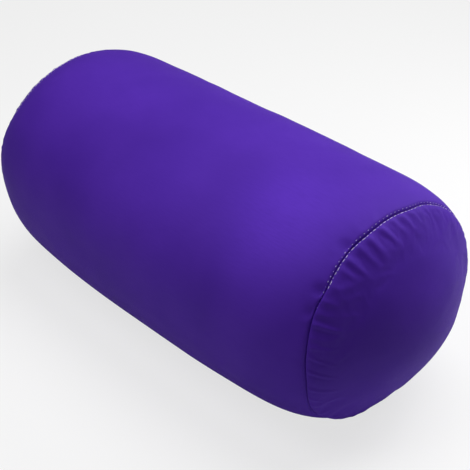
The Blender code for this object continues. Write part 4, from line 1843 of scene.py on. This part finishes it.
@dataclass
class Studio:
    """The camera, a plain white floor and room, and soft lights."""

    shape: FilledShape
    elevation: float = 0.5677
    azimuth: float = 0.8297
    distance: float = 0.7934
    focus: float = 1132.63  # in pixels of the picture
    aim_right: float = 0.01148
    aim_up: float = -0.01131
    sensor: float = 36.0
    room: float = 0.04
    reflected: float = 0.35
    floor_half_width: float = 6.0
    floor_paint: Colour = (0.87, 0.87, 0.87)
    floor_white: float = 0.72  # how much of it shows plain white to the camera
    lights: tuple[SoftLight, ...] = (
        SoftLight("overhead_softbox", (0.0, 0.44, 1.72), 1.20, 18.0),
        SoftLight("front_softbox", (-0.03, -0.28, 0.46), 0.30, 0.74),
        SoftLight("back_softbox", (0.22, 0.40, 0.42), 0.30, 1.55),
    )

    def build_camera(self) -> None:
        """Stands the camera where the picture was taken from."""
        centre = Vector((0, 0, self.shape.centre_height))
        low = math.cos(self.elevation)
        back = Vector((math.sin(self.azimuth) * low, -math.cos(self.azimuth) * low, math.sin(self.elevation)))
        right = Vector((math.cos(self.azimuth), math.sin(self.azimuth), 0))
        target = centre + right * self.aim_right + back.cross(right) * self.aim_up
        data = bpy.data.cameras.new("camera")
        data.sensor_width = self.sensor
        data.lens = self.focus / PIXELS * self.sensor
        data.clip_start, data.clip_end = 0.01, 50.0
        made = put("camera", data)
        aim(made, centre + back * self.distance, target)
        bpy.context.scene.camera = made

    def build_floor(self) -> None:
        """Lays the floor, which shows white and keeps the bolster's shadow."""
        mesh = bmesh.new()
        bmesh.ops.create_grid(mesh, x_segments=1, y_segments=1, size=self.floor_half_width)
        graph = Graph.of_material("white_floor")
        paint = graph.node("ShaderNodeBsdfDiffuse", None, {"Color": (*self.floor_paint, 1.0)})
        white = graph.node("ShaderNodeEmission", None, {"Color": WHITE, "Strength": 1.0})
        path = graph.node("ShaderNodeLightPath")
        seen = Field(graph, path.outputs["Is Camera Ray"]) * self.floor_white
        mixed = graph.node("ShaderNodeMixShader", None, {0: seen, 1: paint.outputs[0], 2: white.outputs[0]})
        graph.node("ShaderNodeOutputMaterial", None, {"Surface": mixed.outputs[0]})
        data = mesh_data("floor", mesh)
        data.materials.append(graph.owner)
        put("floor", data)

    def build_room(self) -> None:
        """Fills the room with faint even light. The camera sees it white, and glossy surfaces see it pale."""
        world = bpy.data.worlds.new("white_room")
        graph = Graph(world)
        path = graph.node("ShaderNodeLightPath")
        camera = Field(graph, path.outputs["Is Camera Ray"])
        glossy = Field(graph, path.outputs["Is Glossy Ray"])
        strength = camera * (1 - self.room) + glossy * (self.reflected - self.room) + self.room
        light = graph.node("ShaderNodeBackground", None, {"Color": WHITE, "Strength": strength})
        graph.node("ShaderNodeOutputWorld", None, {"Surface": light.outputs[0]})
        bpy.context.scene.world = world

    def build(self) -> None:
        """Builds the studio."""
        bpy.context.scene.view_settings.view_transform = "Standard"
        self.build_camera()
        self.build_floor()
        self.build_room()
        for light in self.lights:
            light.build()


def main() -> None:
    """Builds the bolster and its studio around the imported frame."""
    logging.basicConfig(level=logging.INFO, format="%(message)s")
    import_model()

    shape = FilledShape()
    seam = EndSeam(shape)
    near = GatherRing(SEEN_GATHERS + uneven_gathers(208.0, 404.0, 22, 0.0003, 0.011))
    # The far end's folds are shallow where they meet the picture's outline, which is smooth there
    at_outline = uneven_gathers(40.0, 236.0, 23, 0.0003, 0.013)
    far = GatherRing(at_outline + uneven_gathers(236.0, 400.0, 19, 0.0009, 0.013))
    Studio(shape).build()

    knit = StretchKnit().material()
    lilac = SewingThread("lilac_thread", (0.48, 0.38, 0.74), (0.78, 0.70, 0.93)).material()
    purple = SewingThread("purple_thread", (0.100, 0.035, 0.400), (0.16, 0.07, 0.52)).material()
    white = SewingThread("white_thread", (0.72, 0.72, 0.70), (0.86, 0.86, 0.84)).material()
    liner = PlainLiner().material()
    metal = NickelPlate().material()

    cover = CoverBody(shape, seam, near, far)
    cover.build(knit)
    for end, ring in ((End.NEAR, near), (End.FAR, far)):
        panel = EndPanel(end, shape, seam, ring)
        panel.build(knit)
        threads = EndSeamThreads(end, shape, seam, cover, panel)
        threads.build_stitches(lilac)
        threads.build_overlock(lilac)

    casing = InnerCasing(shape)
    casing.build_tube(liner)
    for end in End:
        casing.build_end(end, liner, white)
    casing.build_filling(FoamBeads().material())

    fastener = ZipFastener(shape, cover)
    woven, nylon = WovenTape().material(), NylonCoil().material()
    for side in Side:
        fastener.build_tape(side, woven)
        fastener.build_coil(side, nylon, purple)
    fastener.build_stops(metal)
    fastener.build_topstitching(lilac)
    for end in End:
        fastener.build_side_seam(end, lilac)
    moving = SliderAndPull(fastener)
    moving.build_slider(metal)
    moving.build_pull(metal)


if __name__ == "__main__":
    main()
